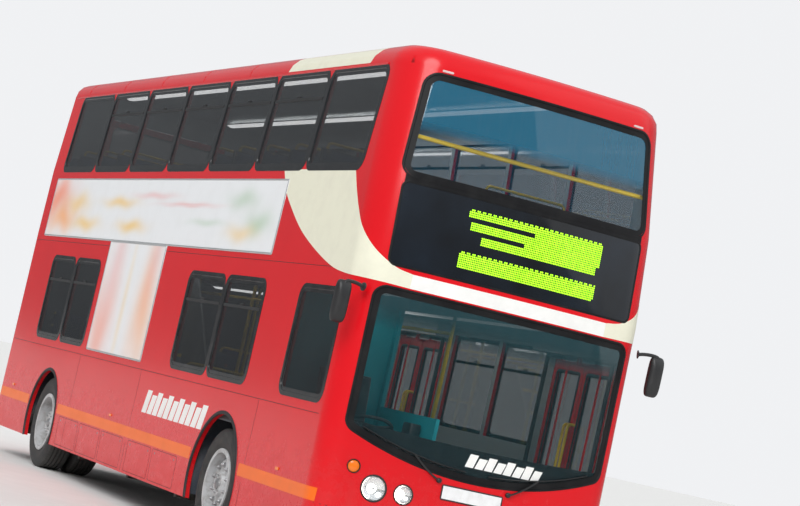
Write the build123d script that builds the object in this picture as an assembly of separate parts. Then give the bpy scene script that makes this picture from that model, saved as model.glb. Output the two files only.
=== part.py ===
from build123d import *
import os
from math import asin, cos, pi, radians, sin, sqrt

# Two-deck, two-door, low-floor city bus. Millimetres: +X is the front, +Y the kerb side
# with the doors, +Z up, and the origin lies on the ground under the middle of the body.

# Body envelope
FRONT = 5100
REAR = -5082
HALF = 1250
HEIGHT = 4300
SKIRT = 280
WALL = 45
FRONT_SWEEP = 6000
REAR_CORNER = 150
DECK_SPLIT = 2400
ROOF_FROM = 4080
ROOF_RADIUS = 170
FRONT_SPLIT = 4760
UPPER_FRONT_SPLIT = 4470
REAR_SPLIT = -4930

# Wheels and axles
FRONT_AXLE_X = 2600
REAR_AXLE_X = -3100
TYRE_R = 478.5
TYRE_WIDTH = 275
RIM_R = 286
RIM_WIDTH = 230
FLANGE = 12
FLANGE_R = 302
FRONT_WHEEL_Y = 1060
KINGPIN_Y = 950
KINGPIN_R = 20
RUN_GAP = 0.3
REAR_OUTER_Y = 1065
REAR_INNER_Y = 755
STUB_R = 40
REAR_STUB_R = 60
FRONT_ARCH_R = 590
REAR_ARCH_R = 545
WELL_TOP = 1010
FRONT_WELL_Y = 560
REAR_WELL_Y = 590
SHEET = 15

# Floors and decks
FLOOR = 360
FLOOR_SLAB = 40
PLATFORM = 600
PLATFORM_X = -1950
CAB_FLOOR = 560
BULKHEAD_X = -4010
UPPER_UNDER = 2330
UPPER_FLOOR = 2390
RAIL_Y = 400
RAIL_W = 60

# Windows
LOWER_SILL = 1370
LOWER_HEAD = 2220
UPPER_SILL = 3220
UPPER_HEAD = 4035
PILLAR = 70
GLASS_IN = 6
GLASS = 8

# Inward gliding doors: each leaf hangs between an arm above it and one below it, which turn with
# a post at the jamb, and a roller in the header guides its free edge
SILL = 386
DOOR_BOTTOM = 394
DOOR_TOP = 2140
HEADER = 2176
DOOR_GAP = 8
OPEN_ANGLE = 75
LEAF = 35
LEAF_OFFSET = 80
LEAF_FREE = 20
POST_IN = 40
POST_TO_EDGE = 50
POST_R = 18
ARM_W = 30
ARM_H = 20
ARM_LOW = FLOOR + 8
ARM_TOP = HEADER - 8 - ARM_H
BRACKET = 12
PIN_R = 8
ROLLER_R = 10
POST_Y = HALF - 7 - LEAF / 2 - LEAF_OFFSET

# Stairs
STAIR_X = -60
TREAD = 230
STEPS = 8
STAIR_Y = -560
WELL_FRONT = 250

os.makedirs("parts", exist_ok=True)


def box(x0, x1, y0, y1, z0, z1):
    return Pos((x0 + x1) / 2, (y0 + y1) / 2, (z0 + z1) / 2) * Box(x1 - x0, y1 - y0, z1 - z0)


def rod(p, axis, r, length):
    plane = Plane(origin=p, z_dir=axis)
    return extrude(plane * Circle(r), length)


def prism_y(points, y0, y1):
    plane = Plane(origin=(0, y0, 0), x_dir=(1, 0, 0), z_dir=(0, -1, 0))
    face = make_face(Polyline(*points, close=True))
    return extrude(plane * face, -(y1 - y0))


def both(shape):
    return shape + mirror(shape, about=Plane.XZ)


# A three-knuckle hinge along an axis: the outer knuckles and the pin are fixed, the middle one moves
def hinge(p, axis, r, pin, seg):
    p, axis = Vector(p), Vector(axis)
    fixed = rod(p, axis, r, seg) + rod(p + axis * (2 * seg), axis, r, seg) + rod(p, axis, pin, 3 * seg)
    moving = rod(p + axis * (seg + 0.5), axis, r, seg - 1) - rod(p, axis, pin + RUN_GAP, 3 * seg)
    return fixed, moving


def put(shape, name):
    export_step(shape, "parts/" + name + ".step")


# One node of several solids that only touch, as plates and members that are joined in assembly
def put_all(shapes, name):
    put(Compound(children=[solid for shape in shapes for solid in shape.solids()]), name)


# The body's outline at one height: a bowed front, rounded front corners and a flat back.
def outline(z, half, front, corner, rear, rear_corner, sweep):
    turn = asin((half - corner) / (sweep - corner))
    cx = front - sweep + (sweep - corner) * cos(turn)
    cy = half - corner
    a = (front - sweep + sweep * cos(turn), sweep * sin(turn))
    half_way = (turn + pi / 2) / 2
    b = (cx + corner * cos(half_way), cy + corner * sin(half_way))
    c = (cx, half)
    d = (rear + rear_corner, half)
    q = rear_corner * (1 - sqrt(0.5))
    e = (rear + q, half - q)
    f = (rear, half - rear_corner)
    low = {k: (p[0], -p[1]) for k, p in dict(a=a, b=b, c=c, d=d, e=e, f=f).items()}
    edges = [
        ThreePointArc(low["a"], (front, 0), a),
        ThreePointArc(a, b, c),
        Line(c, d),
        ThreePointArc(d, e, f),
        Line(f, low["f"]),
        ThreePointArc(low["f"], low["e"], low["d"]),
        Line(low["d"], low["c"]),
        ThreePointArc(low["c"], low["b"], low["a"]),
    ]
    return Pos(0, 0, z) * make_face(edges)


# Height, half width, front face and front corner radius of each section below the roof
SECTIONS = [
    (SKIRT, HALF - 10, FRONT - 20, 220),
    (620, HALF, FRONT, 220),
    (1000, HALF, FRONT - 25, 230),
    (2480, HALF, FRONT - 45, 280),
    (3200, HALF - 10, FRONT - 95, 340),
    (ROOF_FROM, HALF - 65, FRONT - 240, 380),
]
# Inset and rise, as shares of the camber, of the roof's crown beyond its rounded edge
CROWN = [(420, 0.65), (820, 1.0)]
CAMBER = HEIGHT - ROOF_FROM - ROOF_RADIUS


def hull(o):
    rows = [(z, h - o, f - o, c - o, 0) for z, h, f, c in SECTIONS]
    z, h, f, c = SECTIONS[-1]
    r = ROOF_RADIUS - o
    for angle in (25, 50, 72, 90):
        t = radians(angle)
        rows.append((z + r * sin(t), h - o, f - o, c - o, r * (1 - cos(t))))
    for inset, share in CROWN:
        rows.append((z + r + CAMBER * share, h - o, f - o, c - o, r + inset))
    faces = []
    for z, h, f, c, inset in rows:
        corner = max(c - inset, 40)
        rear_corner = max(REAR_CORNER - o - inset, 40)
        faces.append(outline(z, h - inset, f - inset, corner, REAR + o + inset, rear_corner, FRONT_SWEEP - o))
    return loft(faces, ruled=True)


outer = hull(0)
inner = hull(WALL)
shell = outer - inner
glass_skin = hull(GLASS_IN) - hull(GLASS_IN + GLASS)


# Windows of the lower deck: side, rear end, front end, sill and head
LOWER_WINDOWS = [
    (-1, -4000, -3110, LOWER_SILL, LOWER_HEAD),
    (-1, -3040, -2150, LOWER_SILL, LOWER_HEAD),
    (-1, 850, 1840, LOWER_SILL, LOWER_HEAD),
    (-1, 1910, 2900, LOWER_SILL, LOWER_HEAD),
    (-1, 3760, 4690, LOWER_SILL, LOWER_HEAD),
    (1, -4000, -3110, LOWER_SILL, LOWER_HEAD),
    (1, -3040, -2150, LOWER_SILL, LOWER_HEAD),
    (1, -2080, -1100, LOWER_SILL, LOWER_HEAD),
    (1, -1030, -50, LOWER_SILL, LOWER_HEAD),
    (1, 1450, 2420, LOWER_SILL, LOWER_HEAD),
    (1, 2490, 3440, LOWER_SILL, LOWER_HEAD),
]
UPPER_REAR_X = -4530
UPPER_FRONT_X = 4400
UPPER_BAYS = 7
bay = (UPPER_FRONT_X - UPPER_REAR_X + PILLAR) / UPPER_BAYS
upper_bays = [(UPPER_REAR_X + k * bay, UPPER_REAR_X + (k + 1) * bay - PILLAR) for k in range(UPPER_BAYS)]


def side_cut(side, x0, x1, z0, z1):
    y0, y1 = sorted((side * 1000, side * 1400))
    return box(x0, x1, y0, y1, z0, z1)


lower_cut = {side: [side_cut(*row) for row in LOWER_WINDOWS if row[0] == side] for side in (-1, 1)}
upper_cut = {side: [side_cut(side, *ends, UPPER_SILL, UPPER_HEAD) for ends in upper_bays] for side in (-1, 1)}

# Doorways: rear jamb and front jamb in the kerb-side wall
DOORWAYS = {"entrance": (3580, 4680), "exit": (180, 1280)}
door_cut = [box(x0, x1, 1100, 1400, SILL, DOOR_TOP + 6) for x0, x1 in DOORWAYS.values()]

arches = []
for x, r in ((FRONT_AXLE_X, FRONT_ARCH_R), (REAR_AXLE_X, REAR_ARCH_R)):
    arches.append(rod((x, -1400, TYRE_R), (0, 1, 0), r, 2800))

# Lower and upper side walls
for side, word in ((-1, "offside"), (1, "nearside")):
    y0, y1 = sorted((0, side * 1400))
    lower = shell & box(REAR_SPLIT, FRONT_SPLIT, y0, y1, 0, DECK_SPLIT)
    for cut in lower_cut[side] + arches + (door_cut if side > 0 else []):
        lower -= cut
    put(lower, "wall_lower_" + word)
    upper = shell & box(REAR_SPLIT, UPPER_FRONT_SPLIT, y0, y1, DECK_SPLIT, ROOF_FROM)
    for cut in upper_cut[side]:
        upper -= cut
    put(upper, "wall_upper_" + word)
# The roof is a crown, a cant rail along each side and a domed end, riveted edge to edge
ROOF_CROWN = (-4870, 4650, 760)
x0, x1, y1 = ROOF_CROWN
roof_parts = [
    box(x0, x1, -y1, y1, ROOF_FROM, 5000),
    box(x0, x1, y1, 1400, ROOF_FROM, 5000),
    box(x0, x1, -1400, -y1, ROOF_FROM, 5000),
    box(-6000, x0, -1400, 1400, ROOF_FROM, 5000),
    box(x1, 6000, -1400, 1400, ROOF_FROM, 5000),
]
put_all([shell & part for part in roof_parts], "roof")

# Side windows, one pane to an opening
for name, cuts in (("glass_lower", lower_cut), ("glass_upper", upper_cut)):
    panes = []
    for side in (-1, 1):
        panes += [glass_skin & cut for cut in cuts[side]]
    put_all(panes, name)

# Front: a windscreen with a curved lower edge, a sign panel and a raked upper window
SCREEN_TOP = 2320
SCREEN_SIDE = 1110
SCREEN_LOW = 1000
SCREEN_SIDE_LOW = 1225
SIGN_LOW = 2500
SIGN_TOP = 3150
SIGN_HALF = 1060
FRONT_WINDOW_LOW = 3190
FRONT_WINDOW_TOP = 4030
FRONT_WINDOW_WIDE = 1090
FRONT_WINDOW_NARROW = 1010
LAMP_Z = 800
LAMP_Y = 800
LAMP_R = 100


def closed(*points):
    return Polyline(*points, close=True).edges()


def front_prism(edges, radius):
    face = make_face(edges)
    face = fillet(face.vertices(), radius)
    return extrude(Plane.YZ * face, 6000) & box(4200, 6000, -1400, 1400, 0, 5000)


screen_cut = front_prism(
    [
        ThreePointArc((-SCREEN_SIDE, SCREEN_SIDE_LOW), (0, SCREEN_LOW), (SCREEN_SIDE, SCREEN_SIDE_LOW)),
        Line((SCREEN_SIDE, SCREEN_SIDE_LOW), (SCREEN_SIDE, SCREEN_TOP)),
        Line((SCREEN_SIDE, SCREEN_TOP), (-SCREEN_SIDE, SCREEN_TOP)),
        Line((-SCREEN_SIDE, SCREEN_TOP), (-SCREEN_SIDE, SCREEN_SIDE_LOW)),
    ],
    90,
)
sign_cut = front_prism(
    closed((-SIGN_HALF, SIGN_LOW), (SIGN_HALF, SIGN_LOW), (SIGN_HALF, SIGN_TOP), (-SIGN_HALF, SIGN_TOP)), 50
)
front_window_cut = front_prism(
    closed(
        (-FRONT_WINDOW_WIDE, FRONT_WINDOW_LOW),
        (FRONT_WINDOW_WIDE, FRONT_WINDOW_LOW),
        (FRONT_WINDOW_NARROW, FRONT_WINDOW_TOP),
        (-FRONT_WINDOW_NARROW, FRONT_WINDOW_TOP),
    ),
    110,
)
# Head lamp, inner lamp and indicator: distance from the middle, height, radius
FRONT_LAMPS = [(LAMP_Y, LAMP_Z, LAMP_R), (560, LAMP_Z, 75), (985, 935, 48)]
lamp_cuts = [both(rod((4300, y, z), (1, 0, 0), r, 1000)) for y, z, r in FRONT_LAMPS]
front_lower = shell & box(FRONT_SPLIT, 6000, -1400, 1400, 0, DECK_SPLIT)
for cut in [screen_cut] + lamp_cuts:
    front_lower -= cut
put(front_lower, "front_lower")
front_upper = shell & box(UPPER_FRONT_SPLIT, 6000, -1400, 1400, DECK_SPLIT, ROOF_FROM)
put(front_upper - sign_cut - front_window_cut, "front_upper")
put(glass_skin & screen_cut, "windscreen")
put(glass_skin & front_window_cut, "front_upper_glass")
put(shell & sign_cut, "sign_panel")
lens_skin = hull(4) - hull(WALL)
lenses = []
for cut in lamp_cuts:
    lenses += (lens_skin & cut).solids()
put_all(lenses, "front_lamps")

# Back: engine cover with two banks of louvres, framed emergency window and lamps
COVER = (-900, 900, 450, 1650)
EXIT_WINDOW = (-720, 720, 3130, 3950)
cover_cut = box(-6000, -4800, *COVER)
exit_cut = box(-6000, -4800, *EXIT_WINDOW)
REAR_LAMPS = [(1075, 900, 55), (1075, 1040, 55), (1075, 1180, 55)]
rear_lamp_cuts = [both(rod((-5300, y, z), (1, 0, 0), r, 500)) for y, z, r in REAR_LAMPS]
rear_lower = shell & box(-6000, REAR_SPLIT, -1400, 1400, 0, DECK_SPLIT)
for cut in [cover_cut] + rear_lamp_cuts:
    rear_lower -= cut
rear_upper = (shell & box(-6000, REAR_SPLIT, -1400, 1400, DECK_SPLIT, ROOF_FROM)) - exit_cut
# Both lids swing out and up on hinges that stand HINGE_OUT behind the panel
LID_GAP = 6
EXIT_FRAME = 70
HINGE_OUT = 9
HINGE_DOWN = 12
HINGE_SEG = 60
lids = []
for panel, (y0, y1, z0, z1) in ((rear_lower, COVER), (rear_upper, EXIT_WINDOW)):
    lid = shell & box(-6000, -4800, y0 + LID_GAP, y1 - LID_GAP, z0 + LID_GAP, z1 - LID_GAP)
    start = y1 - 330
    fixed, moving = hinge((REAR - HINGE_OUT, start, z1 - HINGE_DOWN), (0, 1, 0), 8, 3.5, HINGE_SEG)
    for k in (0, 2):
        y = start + k * HINGE_SEG
        fixed += box(REAR - 13, REAR - 5, y, y + HINGE_SEG, z1 - HINGE_DOWN, z1 + 45)
        fixed += box(REAR - 13, REAR, y, y + HINGE_SEG, z1 + 8, z1 + 45)
    strap_y = (start + HINGE_SEG + 0.5, start + 2 * HINGE_SEG - 0.5)
    strap = box(REAR - 13, REAR, *strap_y, z1 - 60, z1 - HINGE_DOWN)
    strap -= rod((REAR - HINGE_OUT, start, z1 - HINGE_DOWN), (0, 1, 0), 3.5 + RUN_GAP, 3 * HINGE_SEG)
    panel += both(fixed)
    lids.append((panel, lid + both(moving + strap)))
(rear_lower, engine_cover), (rear_upper, exit_frame) = lids
# Each louvre slot slopes up inward, so that rain runs off the blade below it
LOUVRES = 10
LOUVRE_PITCH = 64
LOUVRE_LOW = 700
LOUVRE_OPEN = 24
LOUVRE_RISE = 42
LOUVRE_Y = (90, 780)
for k in range(LOUVRES):
    z = LOUVRE_LOW + k * LOUVRE_PITCH
    x0, x1 = REAR - 5, REAR + WALL + 5
    slot = [(x0, z), (x1, z + LOUVRE_RISE), (x1, z + LOUVRE_RISE + LOUVRE_OPEN), (x0, z + LOUVRE_OPEN)]
    engine_cover -= both(prism_y(slot, *LOUVRE_Y))
y0, y1, z0, z1 = EXIT_WINDOW
pane_cut = box(-6000, -4800, y0 + EXIT_FRAME, y1 - EXIT_FRAME, z0 + EXIT_FRAME, z1 - EXIT_FRAME)
put(rear_lower, "rear_lower")
put(engine_cover, "engine_cover")
put(rear_upper, "rear_upper")
put_all([exit_frame - pane_cut, glass_skin & pane_cut], "emergency_window")
lenses = []
for cut in rear_lamp_cuts:
    lenses += ((outer - inner) & cut).solids()
put_all(lenses, "rear_lamps")

# Lower floor: boards on the frame, a platform with a riser and a step, the cab's plinth, and the
# engine bulkhead. Each wheel box is four plates: a lid, an inner wall and two end walls.
FRONT_WELL = (FRONT_AXLE_X - 600, FRONT_AXLE_X + 600)
REAR_WELL = (REAR_AXLE_X - 560, REAR_AXLE_X + 560)
RISER = 20
STEP_DEPTH = 250
BULKHEAD = 20
CAB_X = (3640, 4850)
CAB_SIDE = -330
floor_low = FLOOR - FLOOR_SLAB
deck_low = PLATFORM - FLOOR_SLAB
riser_x = PLATFORM_X + RISER
step_x = riser_x + STEP_DEPTH
front_pit = (FRONT_WELL[0] - SHEET, FRONT_WELL[1] + SHEET, SHEET - FRONT_WELL_Y, FRONT_WELL_Y - SHEET)
rear_pit = (REAR_WELL[0] - SHEET, REAR_WELL[1] + SHEET, SHEET - REAR_WELL_Y, REAR_WELL_Y - SHEET)
# Rear end, front end, right edge, left edge, underside and top of each board
BOARDS = [
    (riser_x, FRONT_WELL[0] - SHEET, -1300, 1300, floor_low, FLOOR),
    (*front_pit, floor_low, FLOOR),
    (FRONT_WELL[1] + SHEET, 4900, -1300, 1300, floor_low, FLOOR),
    (PLATFORM_X, riser_x, -1300, 1300, floor_low, PLATFORM),
    (riser_x, step_x, -1300, 1300, FLOOR, (FLOOR + PLATFORM) / 2),
    (REAR_WELL[1] + SHEET, PLATFORM_X, -1300, 1300, deck_low, PLATFORM),
    (*rear_pit, deck_low, PLATFORM),
    (BULKHEAD_X, REAR_WELL[0] - SHEET, -1300, 1300, deck_low, PLATFORM),
    (*CAB_X, -1300, CAB_SIDE, FLOOR, CAB_FLOOR),
    (BULKHEAD_X - BULKHEAD, BULKHEAD_X, -1300, 1300, deck_low, UPPER_UNDER),
]
boards = [box(*row) & inner for row in BOARDS]
for (x0, x1), y, low in ((FRONT_WELL, FRONT_WELL_Y, floor_low), (REAR_WELL, REAR_WELL_Y, deck_low)):
    plates = [
        box(x0 - SHEET, x1 + SHEET, y - SHEET, 1300, WELL_TOP, WELL_TOP + SHEET),
        box(x0 - SHEET, x1 + SHEET, y - SHEET, y, low, WELL_TOP),
        box(x0 - SHEET, x0, y, 1300, low, WELL_TOP),
        box(x1, x1 + SHEET, y, 1300, low, WELL_TOP),
    ]
    for plate in plates:
        boards.append(plate & inner)
        boards.append(mirror(plate, about=Plane.XZ) & inner)
# Bearings for the door posts
BEARING = 15
post_pins = [(x, POST_Y) for x0, x1 in DOORWAYS.values() for x in (x0 - POST_IN, x1 + POST_IN)]
sockets = [rod((x, y, FLOOR - BEARING - 1), (0, 0, 1), PIN_R + RUN_GAP, 100) for x, y in post_pins]
for k in (0, 2):
    for socket in sockets:
        boards[k] -= socket
put_all(boards, "lower_floor")

# Upper floor round the stairwell, and the door headers that hang under it, each with a slot that
# guides the leaves' rollers and bearings for the posts
well_rear = STAIR_X - TREAD * STEPS
decks = [
    box(-6000, well_rear, -1300, 1300, UPPER_UNDER, UPPER_FLOOR) & inner,
    box(well_rear, WELL_FRONT, STAIR_Y, 1300, UPPER_UNDER, UPPER_FLOOR) & inner,
    box(WELL_FRONT, 6000, -1300, 1300, UPPER_UNDER, UPPER_FLOOR) & inner,
]
SLOT = 12
for x0, x1 in DOORWAYS.values():
    header = box(x0 - 120, x1 + 120, POST_Y - 120, 1300, HEADER, UPPER_UNDER) & inner
    middle = (x0 + x1) / 2
    reach = middle - DOOR_GAP / 2 - LEAF_FREE - (x0 - POST_IN)
    near = reach * cos(radians(OPEN_ANGLE)) - 30
    header -= box(x0 - POST_IN + near, x1 + POST_IN - near, POST_Y - SLOT, POST_Y + SLOT, 0, HEADER + 26)
    for x in (x0 - POST_IN, x1 + POST_IN):
        header -= rod((x, POST_Y, HEADER - 10), (0, 0, 1), PIN_R + RUN_GAP, BEARING + 11)
    decks.append(header)
put_all(decks, "upper_floor")

# Underframe: box members welded end to end. The rails run low at the front, step up over the
# rear axle and down again for the engine. Cross members stand between and outside the rails.
POST = 60
# Rear end, front end, underside and top of each pair of rail members
RAILS = [
    (PLATFORM_X, 4880, 240, 320),
    (PLATFORM_X - POST, PLATFORM_X, 240, 480),
    (BULKHEAD_X - BULKHEAD, PLATFORM_X, 480, 560),
    (BULKHEAD_X - BULKHEAD - POST, BULKHEAD_X - BULKHEAD, 350, 560),
    (-5000, BULKHEAD_X - BULKHEAD, 280, 350),
]
# Rear face and underside of each cross member
CROSS = [(4820, 240), (1500, 240), (0, 240), (-1700, 240)]
CROSS += [(PLATFORM_X - POST, 280), (-4090, 280), (-5000, 280)]
rail_in, rail_out = RAIL_Y - RAIL_W / 2, RAIL_Y + RAIL_W / 2
frame = []
for x0, x1, z0, z1 in RAILS:
    for side in (-1, 1):
        y0, y1 = sorted((side * rail_in, side * rail_out))
        frame.append(box(x0, x1, y0, y1, z0, z1))
for x, z in CROSS:
    for y0, y1 in ((-1150, -rail_out), (-rail_in, rail_in), (rail_out, 1150)):
        frame.append(box(x, x + POST, y0, y1, z, z + (80 if z == 240 else 70)))
# Towing eyes on the end members, and round jacking pads under the rails
TOW_Z = 240
TOW_R = 20
front_eye = box(4880, 5050, -20, 20, TOW_Z - 35, TOW_Z + 35) + box(4820, 4880, -20, 20, TOW_Z - 35, TOW_Z)
rear_eye = box(-5100, -4940, -20, 20, TOW_Z - 35, TOW_Z + 40)
frame.append(front_eye - rod((5000, -50, TOW_Z), (0, 1, 0), TOW_R, 100))
frame.append(rear_eye - rod((-5055, -50, TOW_Z), (0, 1, 0), TOW_R, 100))
for x in (1800, PLATFORM_X - POST / 2):
    for side in (-1, 1):
        frame.append(rod((x, side * RAIL_Y, 228), (0, 0, 1), 28, 12))
put_all(frame, "underframe")

# Engine, set across the bus behind the rear axle: sump, block, head and rounded rocker cover, the
# gearbox in line with the crankshaft, inlet pipes in front, exhaust stubs behind, and the fan end
ENGINE_X = -4510
CYLINDERS = 6
BORE_PITCH = 125
crank = (ENGINE_X, 0, 640)
block_y = (-700, 150)
engine = box(ENGINE_X - 240, ENGINE_X + 240, -650, 100, 350, 520)
engine += box(ENGINE_X - 300, ENGINE_X + 300, *block_y, 520, 860)
engine += box(ENGINE_X - 260, ENGINE_X + 260, -680, 130, 860, 960)
cover = rod((ENGINE_X, -660, 930), (0, 1, 0), 170, 770)
engine += cover & box(ENGINE_X - 200, ENGINE_X + 200, -700, 200, 930, 1150)
engine += rod((ENGINE_X, block_y[1], crank[2]), (0, 1, 0), 240, 90)
engine += rod((ENGINE_X, block_y[1] + 90, crank[2]), (0, 1, 0), 170, 110)
engine += rod((ENGINE_X, block_y[0] - 60, crank[2]), (0, 1, 0), 120, 60)
engine += rod((ENGINE_X, block_y[0] - 90, 850), (0, 1, 0), 70, 95)
engine += rod((ENGINE_X + 370, -640, 910), (0, 1, 0), 55, 730)
engine += rod((ENGINE_X - 350, -640, 910), (0, 1, 0), 42, 730)
for k in range(CYLINDERS):
    y = -580 + k * BORE_PITCH
    engine += rod((ENGINE_X + 250, y, 910), (1, 0, 0), 28, 120)
    engine += rod((ENGINE_X - 350, y, 910), (1, 0, 0), 26, 100)
put(engine, "engine")

# Stairs rise rearward on the offside: one block for each step, with a sloping soffit, a side
# panel, and a guard round the well above
rise = (UPPER_FLOOR - FLOOR) / (STEPS + 1)
SOFFIT = 70
FOOT = 72
slope = (rise * STEPS - SOFFIT) / (TREAD * STEPS - FOOT)
stairs = []
for k in range(STEPS):
    x1, x0 = STAIR_X - TREAD * k, STAIR_X - TREAD * (k + 1)
    top = FLOOR + rise * (k + 1)
    low0, low1 = (FLOOR + slope * (STAIR_X - FOOT - x) for x in (x0, x1))
    points = [(x1, top), (x0, top), (x0, low0)]
    points += [(x1, low1)] if k else [(STAIR_X - FOOT, FLOOR), (STAIR_X, FLOOR)]
    stairs.append(prism_y(points, -1300, STAIR_Y) & inner)
panel_top = STAIR_X - 1040
side_panel = [(STAIR_X, FLOOR), (STAIR_X, FLOOR + 950), (panel_top, UPPER_UNDER)]
side_panel += [(step_x, UPPER_UNDER), (step_x, FLOOR)]
stairs.append(prism_y(side_panel, STAIR_Y, STAIR_Y + 20))
stairs.append(box(well_rear + 20, WELL_FRONT, STAIR_Y, STAIR_Y + 20, UPPER_FLOOR, UPPER_FLOOR + 800))
stairs.append(box(WELL_FRONT, WELL_FRONT + 20, -1300, STAIR_Y + 20, UPPER_FLOOR, UPPER_FLOOR + 800) & inner)
put_all(stairs, "staircase")

# Cab: back wall, door post and low side panel
cab_wall = box(CAB_X[0] - 30, CAB_X[0], -1300, CAB_SIDE + 30, FLOOR, UPPER_UNDER) & inner
cab_post = box(CAB_X[0], 3700, CAB_SIDE, CAB_SIDE + 30, FLOOR, UPPER_UNDER)
cab_panel = box(4420, CAB_X[1], CAB_SIDE, CAB_SIDE + 30, FLOOR, 1420)
cab_door = box(3706, 4414, CAB_SIDE + 2, CAB_SIDE + 28, CAB_FLOOR + 10, 1420)
for z in (700, 1180):
    fixed, moving = hinge((3703, CAB_SIDE + 39, z), (0, 0, 1), 7, 3, 35)
    for k in (0, 2):
        fixed += box(3660, 3703, CAB_SIDE + 35, CAB_SIDE + 43, z + 35 * k, z + 35 * k + 35)
        fixed += box(3660, 3695, CAB_SIDE + 30, CAB_SIDE + 43, z + 35 * k, z + 35 * k + 35)
    strap = box(3703, 3750, CAB_SIDE + 35, CAB_SIDE + 43, z + 35.5, z + 69.5)
    strap += box(3715, 3750, CAB_SIDE + 28, CAB_SIDE + 43, z + 35.5, z + 69.5)
    strap -= rod((3703, CAB_SIDE + 39, z), (0, 0, 1), 3 + RUN_GAP, 105)
    cab_post += fixed
    cab_door += moving + strap
put_all([cab_wall, cab_post, cab_panel], "cab_partition")
put(cab_door, "cab_door")

# Dashboard: a cowl under the windscreen and the driver's binnacle with the steering column
cowl = box(4860, 5100, -1100, 1100, 1000, 1200) & inner
binnacle = box(4640, 4860, -1120, -400, CAB_FLOOR, 1150) & inner
column_dir = Vector(-0.42, 0, 0.9).normalized()
WHEEL_C = Vector(4470, -760, 1230)
column_end = WHEEL_C - column_dir * 30.5
column = rod(column_end - column_dir * 650, column_dir, 35, 650)
column = column & box(4300, 4900, -900, -600, CAB_FLOOR, 1500)
put_all([cowl, binnacle - column, column], "dashboard")
hoop_plane = Plane(origin=WHEEL_C, x_dir=(0, 1, 0), z_dir=(column_dir.Z, 0, -column_dir.X))
hoop_section = hoop_plane * Pos(225, 0) * RegularPolygon(14.5, 8)
hoop = revolve(hoop_section, Axis(WHEEL_C, column_dir))
hub = rod(WHEEL_C - column_dir * 30, column_dir, 45, 45)
for angle in (0, 120, 240):
    t = radians(angle)
    side_dir = column_dir.cross(Vector(0, 1, 0)).normalized()
    d = side_dir * cos(t) + Vector(0, 1, 0) * sin(t)
    hub += rod(WHEEL_C, d, 11, 225)
put(hub + hoop, "steering_wheel")

# Seats: forward-facing pairs and a rear bench on each deck
PAIR = 860
WALL_Y = 1190
SEAT_DEPTH = 430
PAN_LOW = 370
PAN = 25
BACK_TOP = 1010
BACK_LEAN = 70
SQUAB_TOP = 475
PAD_IN = 8


# A seat from its back's foot xb forward, between y0 and y1, on a floor at z
def seat(xb, y0, y1, z, leg=True):
    pan_top = z + PAN_LOW + PAN
    shells = [box(xb, xb + SEAT_DEPTH, y0, y1, z + PAN_LOW, pan_top)]
    if leg:
        mid = (y0 + y1) / 2
        shells.append(box(xb + 130, xb + 200, mid - 120, mid + 120, z, z + PAN_LOW))
    lean_x = xb - BACK_LEAN
    back = [(xb, z + PAN_LOW), (xb - PAN, z + PAN_LOW), (lean_x - PAN, z + BACK_TOP), (lean_x, z + BACK_TOP)]
    shells.append(prism_y(back, y0, y1))
    squab = box(xb + 2, xb + SEAT_DEPTH - 5, y0 + PAD_IN, y1 - PAD_IN, pan_top, z + SQUAB_TOP)
    pad = []
    for height, thick in ((SQUAB_TOP + 5, 62), (BACK_TOP - 20, 50)):
        x = xb - BACK_LEAN * (height - PAN_LOW) / (BACK_TOP - PAN_LOW)
        pad.append([(x, z + height), (x + thick, z + height)])
    low, high = pad
    return shells, [squab, prism_y(low + high[::-1], y0 + PAD_IN, y1 - PAD_IN)]


# Back of each seat pair, by deck and side
UPPER_OFF = [3350, 2610, 1870, 1130, 390, -2650, -3390, -4130]
UPPER_NEAR = [3350, 2610, 1870, 1130, 390, -350, -1090, -1830, -2570, -3310, -4050]
LOWER_OFF = [1080]
LOWER_NEAR = [-780, -1530]
PLATFORM_BOTH = [-2490]
LOWER_ROWS = [(-1, LOWER_OFF, FLOOR), (1, LOWER_NEAR, FLOOR)]
LOWER_ROWS += [(side, PLATFORM_BOTH, PLATFORM) for side in (-1, 1)]
frames_up, pads_up, frames_low, pads_low = [], [], [], []
for side, rows in ((-1, UPPER_OFF), (1, UPPER_NEAR)):
    y0, y1 = sorted((side * (WALL_Y - 15), side * (WALL_Y - 15 - PAIR)))
    for xb in rows:
        a, b = seat(xb, y0, y1, UPPER_FLOOR)
        frames_up += a
        pads_up += b
a, b = seat(-4870, -1150, 1150, UPPER_FLOOR)
frames_up += a
pads_up += b
for side, rows, z in LOWER_ROWS:
    for xb in rows:
        y0, y1 = sorted((side * (WALL_Y - 5), side * (WALL_Y - 5 - PAIR)))
        a, b = seat(xb, y0, y1, z)
        frames_low += a
        pads_low += b
for side in (-1, 1):
    y0, y1 = sorted((side * 1195, side * REAR_WELL_Y))
    a, b = seat(-3330, y0, y1, WELL_TOP + SHEET - PAN_LOW, leg=False)
    frames_low += a
    pads_low += b
a, b = seat(-3915, -1150, 1150, PLATFORM + 60)
frames_low += a
pads_low += b
put_all(frames_up, "seats_upper")
put_all(pads_up, "cushions_upper")
put_all(frames_low, "seats_lower")
put_all(pads_low, "cushions_lower")
driver_pan = CAB_FLOOR + 430
driver = [
    box(3900, 4300, -900, -620, CAB_FLOOR, CAB_FLOOR + 300),
    box(3860, 4330, -1000, -520, CAB_FLOOR + 300, driver_pan),
    prism_y([(3860, driver_pan), (3960, driver_pan), (3860, 1650), (3770, 1650)], -990, -530),
]
put_all(driver, "driver_seat")

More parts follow.
